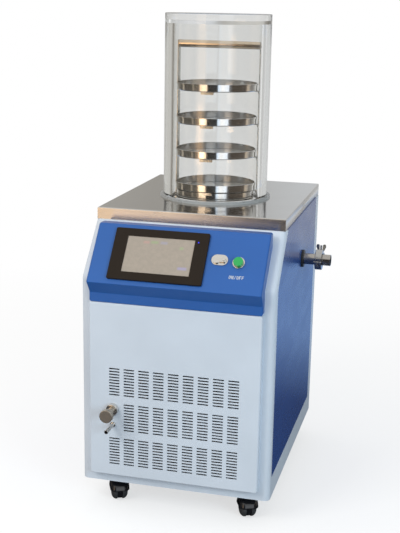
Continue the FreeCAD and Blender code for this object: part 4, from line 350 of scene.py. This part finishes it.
def clear_acrylic():
    """Cast acrylic: water-clear, greener where it is looked through edge on, faintly wiped in its gloss."""
    material = bpy.data.materials.new("clear_acrylic")
    material.use_nodes = True
    g = Graph(material.node_tree)
    bsdf = material.node_tree.nodes["Principled BSDF"]
    where = g.node("TexCoord").outputs["Object"]
    wipe = g.noise(g.scaled(where, (20, 20, 3)), 1.0, 4.0)
    g.feed(g.spread(wipe, 0.45, 0.75, 0.0, 0.03), bsdf.inputs["Roughness"])
    edge = g.spread(g.node("LayerWeight", {"Blend": 0.5}).outputs["Facing"], 0.45, 1.0, 0.0, 1.0)
    g.feed(g.mix(edge, (0.955, 0.96, 0.955, 1), (0.80, 0.825, 0.79, 1)), bsdf.inputs["Base Color"])
    bsdf.inputs["Transmission Weight"].default_value = 1.0
    bsdf.inputs["IOR"].default_value = 1.49
    return material


ACRYLIC = clear_acrylic()


# ---------------------------------------------------------------- surfaces
SHARP_EDGE = 35.0            # degrees


def mesh_piece(name, points, faces, material, replaces=()):
    """A piece of the cabinet from numbered points and faces, smooth but for its sharp edges."""
    mesh = bpy.data.meshes.new(name)
    mesh.from_pydata(points.tolist(), [], faces)
    work = bmesh.new()
    work.from_mesh(mesh)
    bmesh.ops.remove_doubles(work, verts=work.verts, dist=2e-6)
    bmesh.ops.dissolve_degenerate(work, edges=work.edges, dist=1e-7)
    bmesh.ops.recalc_face_normals(work, faces=work.faces)
    work.to_mesh(mesh)
    work.free()
    mesh.shade_smooth()
    mesh.set_sharp_from_angle(angle=math.radians(SHARP_EDGE))
    piece = bpy.data.objects.new(name, mesh)
    bpy.context.scene.collection.objects.link(piece)
    piece.data.materials.append(material)
    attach(piece, "cabinet")
    if replaces:
        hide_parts(*replaces)


def grid_faces(rows, columns):
    """Quads between neighbours of a rows by columns grid of points, joined round both ways."""
    index = np.arange(rows * columns).reshape(rows, columns)
    index = np.vstack([index, index[:1]])
    index = np.hstack([index, index[:, :1]])
    corners = np.stack([index[:-1, :-1], index[1:, :-1], index[1:, 1:], index[:-1, 1:]], -1)
    return corners.reshape(-1, 4).tolist()


def turned(profile, centre, steps):
    """A closed profile of (radius, height) turned about an upright axis: its points and faces.

    x and y are the centre's plus the radius times the cosine and sine of the angle, and z is the height.
    """
    profile = np.asarray(profile, float)
    angle = np.linspace(0, 2 * np.pi, steps, endpoint=False)
    r, z = profile[:, 0][:, None], profile[:, 1][:, None]
    across, along = centre[0] + r * np.cos(angle), centre[1] + r * np.sin(angle)
    points = np.stack([across, along, z + 0 * angle], -1)
    return points.reshape(-1, 3), grid_faces(len(profile), steps)


def paint_nodes(material, *names):
    """Gives CAD nodes a material as their only one."""
    for name in names:
        NODES[name].data.materials.clear()
        NODES[name].data.materials.append(material)


paint_nodes(WHITE_PAINT, "base_pan", "front_fascia", "rear_panel", "front_panel")
paint_nodes(SIDE_PAINT, "side_panel_left", "side_panel_right")
paint_nodes(CONSOLE_PAINT, "console_cover")
paint_nodes(WORKTOP_STEEL, "worktop")
paint_nodes(TRAY_STEEL, "tray_1", "tray_2", "tray_3", "tray_4")
paint_nodes(RACK_STEEL, "tray_rack")
paint_nodes(HANDLE_STEEL, "rack_handle")
paint_nodes(TRAP_STEEL, "cold_trap")
paint_nodes(ZINC, "casing_screws", "caster_mounts", "clamp_pin", "clamp_bolt")
paint_nodes(NICKEL, "vent_valve_body", "vent_nozzle", "button_housing", "data_socket", "socket_cap")
paint_nodes(PORT_STEEL, "port_pipe", "hose_pipe", "centring_ring", "wing_nut")
paint_nodes(KNOB_STEEL, "vent_valve_knob")
paint_nodes(CAST_ALUMINIUM, "clamp_lower", "clamp_upper")
paint_nodes(FIN_ALUMINIUM, "condenser")
paint_nodes(COPPER, "trap_coil", "filter_drier", "refrigerant_pipes")
paint_nodes(BEZEL_PLASTIC, "display_bezel")
paint_nodes(BLACK_PLASTIC, "display_housing", "fan_frame", "fan_blades", "power_inlet", "port_mount")
paint_nodes(BLACK_ENAMEL, "compressor")
paint_nodes(GREY_ENAMEL, "control_box")
paint_nodes(CASTER_PLASTIC, *[f"caster_hood_{k}" for k in (1, 2, 3, 4)])
paint_nodes(TREAD, *[f"caster_wheels_{k}" for k in (1, 2, 3, 4)])
paint_nodes(SEAL_RUBBER, "jar_seal")
paint_nodes(GROMMET_RUBBER, "compressor_mounts")
paint_nodes(FOAM, "trap_insulation")
paint_nodes(HOSE, "vent_pipe")
paint_nodes(LAMP, "status_lamp")
paint_nodes(GREEN_LENS, "button_cap")
paint_nodes(SCREEN, "display_glass")


def bell_jar():
    """Cylinder and lid, cemented into one clear body.

    The profile of a cup upside down, with quarter circles at its outer edges, is turned about the jar's axis.
    """
    outer = (jar_high.x - jar_low.x) / 2
    inner = outer - JAR_WALL
    bottom, top, ceiling = jar_low.z, lid_high.z, lid_low.z
    edge = JAR_ROUNDING
    bend = np.linspace(0, np.pi / 2, 5)
    profile = [(inner + edge, bottom), (outer - edge, bottom)]
    profile += [(outer - edge + edge * math.sin(a), bottom + edge - edge * math.cos(a)) for a in bend]
    profile += [(outer, bottom + (top - bottom) * t) for t in (0.25, 0.5, 0.75)]
    profile += [(outer - edge + edge * math.cos(a), top - edge + edge * math.sin(a)) for a in bend]
    profile += [(0, top), (0, ceiling)]
    profile += [(inner, ceiling)] + [(inner, bottom + (ceiling - bottom) * t) for t in (0.75, 0.5, 0.25)]
    profile += [(inner, bottom + edge)]
    points, faces = turned(profile, (JAR_X, JAR_Y), steps=256)
    mesh_piece("bell_jar", points, faces, ACRYLIC,
               replaces=("jar_cylinder", "jar_lid"))


bell_jar()


def prism(outline, depth):
    """A flat outline given a depth: its points at depth 0, then at depth, and the faces round them."""
    count = len(outline)
    points = np.column_stack([np.tile(outline, (2, 1)), np.repeat([0.0, depth], count)])
    sides = [(k, (k + 1) % count, (k + 1) % count + count, k + count) for k in range(count)]
    return points, sides + [tuple(range(count))[::-1], tuple(range(count, 2 * count))]


def letter_o(width, height, stroke, depth):
    """An oval ring: two ellipses a stroke apart, each at both depths, round one angle."""
    steps = 28
    angle = np.linspace(0, 2 * np.pi, steps, endpoint=False)
    section = np.array([(0, 0), (0, depth), (stroke, depth), (stroke, 0)])
    x = width / 2 + (width / 2 - section[:, :1]) * np.cos(angle)
    y = height / 2 + (height / 2 - section[:, :1]) * np.sin(angle)
    points = np.stack([x, y, section[:, 1:] + 0 * angle], -1).reshape(-1, 3)
    return points, grid_faces(len(section), steps)


def switch_label():
    """ON/OFF printed on the console's slope, under the push button.

    Each letter is a thin raised shape, drawn flat. A point (x, y, depth) lands at the base, plus x along the
    slope, y up it and depth out of it. The slope is the display's own face, carried out to the cover's.
    """
    glass = NODES["display_glass"].data
    flat = max((face for face in glass.polygons if face.normal.y < -0.1), key=lambda face: face.area)
    out = flat.normal.normalized()
    along = Vector((1, 0, 0))
    up = out.cross(along)
    corners = NODES["console_cover"].data.vertices
    spots = np.empty(3 * len(corners))
    corners.foreach_get("co", spots)
    cover = (spots.reshape(-1, 3) @ np.array(out)).max()
    low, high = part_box("button_housing")
    button = (low + high) / 2
    height, width, stroke, depth = 0.0082, 0.0048, 0.0014, 0.00012
    gap, lift, drop = 0.0011, 0.00002, 0.036
    n_shape = [(0, 0), (stroke, 0), (stroke, height * 0.66), (width - stroke, 0), (width, 0), (width, height),
               (width - stroke, height), (width - stroke, height * 0.34), (stroke, height), (0, height)]
    f_shape = [(0, 0), (stroke, 0), (stroke, height * 0.42), (width * 0.8, height * 0.42),
               (width * 0.8, height * 0.42 + stroke), (stroke, height * 0.42 + stroke),
               (stroke, height - stroke), (width, height - stroke), (width, height), (0, height)]
    bar = [(0, 0), (stroke, 0), (width, height), (width - stroke, height)]
    letters = [letter_o(width, height, stroke, depth), prism(n_shape, depth), prism(bar, depth),
               letter_o(width, height, stroke, depth), prism(f_shape, depth), prism(f_shape, depth)]
    start = -(6 * width + 5 * gap) / 2
    points, faces = [], []
    for place, (shape, sides) in enumerate(letters):
        faces += [tuple(index + len(points) for index in face) for face in sides]
        points += list(shape + [start + place * (width + gap), 0, 0])
    points = np.array(points)
    base = Vector((button.x, 0, 0)) + out * cover
    base += up * (button.dot(up) - drop - height / 2 - base.dot(up))
    placed = (np.array(base) + points[:, :1] * np.array(along) + points[:, 1:2] * np.array(up)
              + (points[:, 2:] + lift) * np.array(out))
    mesh_piece("switch_label", placed, faces, PRINT)


switch_label()


# ---------------------------------------------------------------- studio
OBJECT_MIDDLE = Vector((0, 0, 0.6))


def floor():
    """A pale ground that keeps the object's shadow and fades into the white round it.

    To the eye and through glass, its grey gives way to a white glow with distance from the object. In the
    gloss it is dark, and blue far behind the object. To scattered light it is a mid grey ground.
    """
    mesh = bpy.data.meshes.new("studio_floor")
    reach = 2.6
    mesh.from_pydata([(-reach, -reach, 0), (reach, -reach, 0), (reach, reach, 0), (-reach, reach, 0)], [],
                     [(0, 1, 2, 3)])
    ground = bpy.data.objects.new("studio_floor", mesh)
    bpy.context.scene.collection.objects.link(ground)
    material = bpy.data.materials.new("studio_floor")
    material.use_nodes = True
    g = Graph(material.node_tree)
    bsdf = material.node_tree.nodes["Principled BSDF"]
    bsdf.inputs["Roughness"].default_value = 0.9
    bsdf.inputs["Specular IOR Level"].default_value = 0.0
    where = g.node("TexCoord").outputs["Object"]
    away = g.node("VectorMath", {0: where}, operation="LENGTH").outputs["Value"]
    fade = g.spread(away, 0.7, 2.3, 0.0, 1.0)
    ray = g.node("LightPath").outputs
    gloss = g.math("GREATER_THAN", ray["Glossy Depth"], 0.5)
    direct = g.math("MAXIMUM", ray["Is Camera Ray"], ray["Is Transmission Ray"])
    seen = g.math("SUBTRACT", direct, gloss, clamp=True)
    grey = g.mix(gloss, (0.45, 0.45, 0.45, 1), (0.07, 0.07, 0.08, 1))
    g.feed(g.mix(g.math("MULTIPLY", fade, seen), grey, (0, 0, 0, 1)), bsdf.inputs["Base Color"])
    behind = g.spread(g.node("SeparateXYZ", {0: where}).outputs[1], 0.55, 1.25, 0.0, 0.9)
    white = g.math("MULTIPLY", seen, g.spread(fade, 0.0, 1.0, 0.62, 1.0))
    g.feed(g.math("MULTIPLY_ADD", gloss, behind, white), bsdf.inputs["Emission Strength"])
    g.feed(g.mix(gloss, (1, 1, 1, 1), (0.34, 0.56, 0.95, 1)), bsdf.inputs["Emission Color"])
    mesh.materials.append(material)


def lamp(name, place, size, power, colour):
    """A rectangular area light that metal and glass don't show, turned to the middle of the object."""
    light = bpy.data.lights.new(name, "AREA")
    light.shape = "RECTANGLE"
    light.size, light.size_y = size
    light.energy = power
    light.color = colour
    holder = bpy.data.objects.new(name, light)
    holder.visible_glossy = False
    holder.visible_transmission = False
    bpy.context.scene.collection.objects.link(holder)
    holder.location = place
    holder.rotation_euler = (OBJECT_MIDDLE - Vector(place)).to_track_quat("-Z", "Y").to_euler()


# What metal and glass mirror near eye level: degrees round from the front towards +X, and the colour there.
ROOM = [
    (-180, (0.74, 0.75, 0.76)), (-171, (0.68, 0.70, 0.72)), (-164, (0.41, 0.395, 0.365)),
    (-150, (0.62, 0.61, 0.58)), (-125, (0.60, 0.59, 0.56)), (-115, (0.22, 0.20, 0.17)),
    (-94, (0.12, 0.11, 0.09)), (-91, (0.60, 0.52, 0.42)), (-87, (0.60, 0.52, 0.42)),
    (-84, (0.10, 0.09, 0.08)), (-58, (0.12, 0.11, 0.09)), (-54, (0.55, 0.46, 0.36)),
    (-50, (0.13, 0.12, 0.10)), (-36, (0.10, 0.09, 0.08)), (-33, (1.45, 1.08, 0.76)),
    (-13.8, (1.95, 1.48, 1.06)), (-13.2, (0.05, 0.045, 0.04)), (14, (0.06, 0.06, 0.06)),
    (17, (1.05, 1.25, 1.5)), (26, (1.4, 1.4, 1.4)), (44, (1.25, 1.35, 1.5)), (47, (0.09, 0.075, 0.06)),
    (97, (0.12, 0.10, 0.085)), (102, (0.75, 0.62, 0.48)), (112, (0.55, 0.50, 0.45)),
    (115, (0.20, 0.19, 0.18)), (135, (0.45, 0.45, 0.44)), (139, (1.1, 1.1, 1.1)),
    (145, (0.55, 0.55, 0.54)), (180, (0.74, 0.75, 0.76))
]


def world():
    """White to the eye, paler through glass; a room with windows and dark walls in the gloss."""
    scene_world = bpy.data.worlds.new("studio")
    bpy.context.scene.world = scene_world
    scene_world.use_nodes = True
    tree = scene_world.node_tree
    g = Graph(tree)
    ray = g.node("LightPath").outputs
    direction = g.node("TexCoord").outputs["Generated"]
    axes = g.node("SeparateXYZ", {0: direction}).outputs
    azimuth = g.math("ARCTAN2", axes[0], g.math("MULTIPLY", axes[1], -1.0))
    turn = g.spread(azimuth, -math.pi, math.pi, 0.0, 1.0)

    # what the gloss mirrors: the room, a lit doorway low in front, sky low behind, ceiling and dark ground
    room = g.ramp(turn, [((degrees + 180) / 360, colour) for degrees, colour in ROOM])
    door = g.math("MULTIPLY", g.band(azimuth, math.radians(-31), math.radians(-20), 0.03),
                  g.band(axes[2], -0.18, -0.10, 0.01))
    room = g.mix(door, room, (4.2, 2.7, 1.5, 1))
    sky = g.math("MULTIPLY", g.spread(azimuth, math.radians(145), math.radians(155), 0.0, 1.0),
                 g.spread(axes[2], -0.215, -0.245, 0.0, 1.0))
    high = g.spread(axes[2], 0.33, 0.65, 0.0, 1.0)
    ceiling = g.mix(high, room, (0.85, 0.84, 0.82, 1))
    low = g.spread(axes[2], -0.3, -0.5, 0.0, 1.0)
    gloss = g.mix(low, ceiling, (0.08, 0.075, 0.07, 1))
    gloss = g.mix(sky, gloss, (0.42, 0.66, 1.02, 1))
    # the soft light on the object: paler overhead, and stronger from the left
    soft = g.ramp(g.spread(axes[2], -1, 1, 0, 1), [(0.0, (0.20, 0.20, 0.21)), (0.45, (0.34, 0.34, 0.35)),
                                                   (0.55, (0.60, 0.60, 0.61)), (1.0, (0.84, 0.85, 0.86))])
    side = g.spread(axes[0], -1.0, 1.0, 1.2, 0.5)
    soft = g.mix(1.0, soft, g.node("CombineColor", {0: side, 1: side, 2: side}).outputs[0], "MULTIPLY")
    # through glass: a plain light for what stands in the jar, and a pale ground to the eye
    scattered = g.math("GREATER_THAN", ray["Diffuse Depth"], 0.5)
    through = g.mix(scattered, (0.78, 0.78, 0.775, 1), (1.2, 1.2, 1.18, 1))
    shown = g.mix(g.math("GREATER_THAN", ray["Is Transmission Ray"], 0.5), soft, through)
    shown = g.mix(g.math("GREATER_THAN", ray["Glossy Depth"], 0.5), shown, gloss)
    shown = g.mix(ray["Is Camera Ray"], shown, (1, 1, 1, 1))
    g.feed(shown, tree.nodes["Background"].inputs[0])


SENSOR = 36.0                # mm, along the picture's longer side
PICTURE_HEIGHT = 533.0       # points
FOCAL_LENGTH = 1039.3        # points


def camera():
    """A pinhole at the fitted viewpoint: yaw, pitch and roll in turn, with no shift."""
    yaw, pitch, roll = math.radians(14.31), math.radians(14.23), math.radians(-1.03)
    forward = Vector((-math.sin(yaw) * math.cos(pitch), math.cos(yaw) * math.cos(pitch), -math.sin(pitch)))
    right = Vector((math.cos(yaw), math.sin(yaw), 0))
    down = forward.cross(right)
    tilted = math.cos(roll) * right + math.sin(roll) * down
    up = -forward.cross(tilted)
    eye = Vector((MIDDLE_X + 0.612, FRONT_Y - 2.187, WORKTOP_Z + 0.474))
    data = bpy.data.cameras.new("view")
    data.sensor_width = SENSOR
    data.lens = FOCAL_LENGTH / PICTURE_HEIGHT * SENSOR
    data.clip_end = 100.0
    holder = bpy.data.objects.new("view", data)
    bpy.context.scene.collection.objects.link(holder)
    rotation = Matrix((tilted, up, -forward)).transposed().to_4x4()
    holder.matrix_world = Matrix.Translation(eye) @ rotation
    bpy.context.scene.camera = holder


floor()
world()
camera()
lamp("key", (-1.6, -2.6, 2.6), size=(1.6, 1.6), power=40, colour=(1.0, 0.97, 0.92))
lamp("side_window", (2.5, -2.3, 1.3), size=(1.2, 1.4), power=38, colour=(0.62, 0.84, 1.0))
bpy.context.scene.view_settings.view_transform = "Standard"
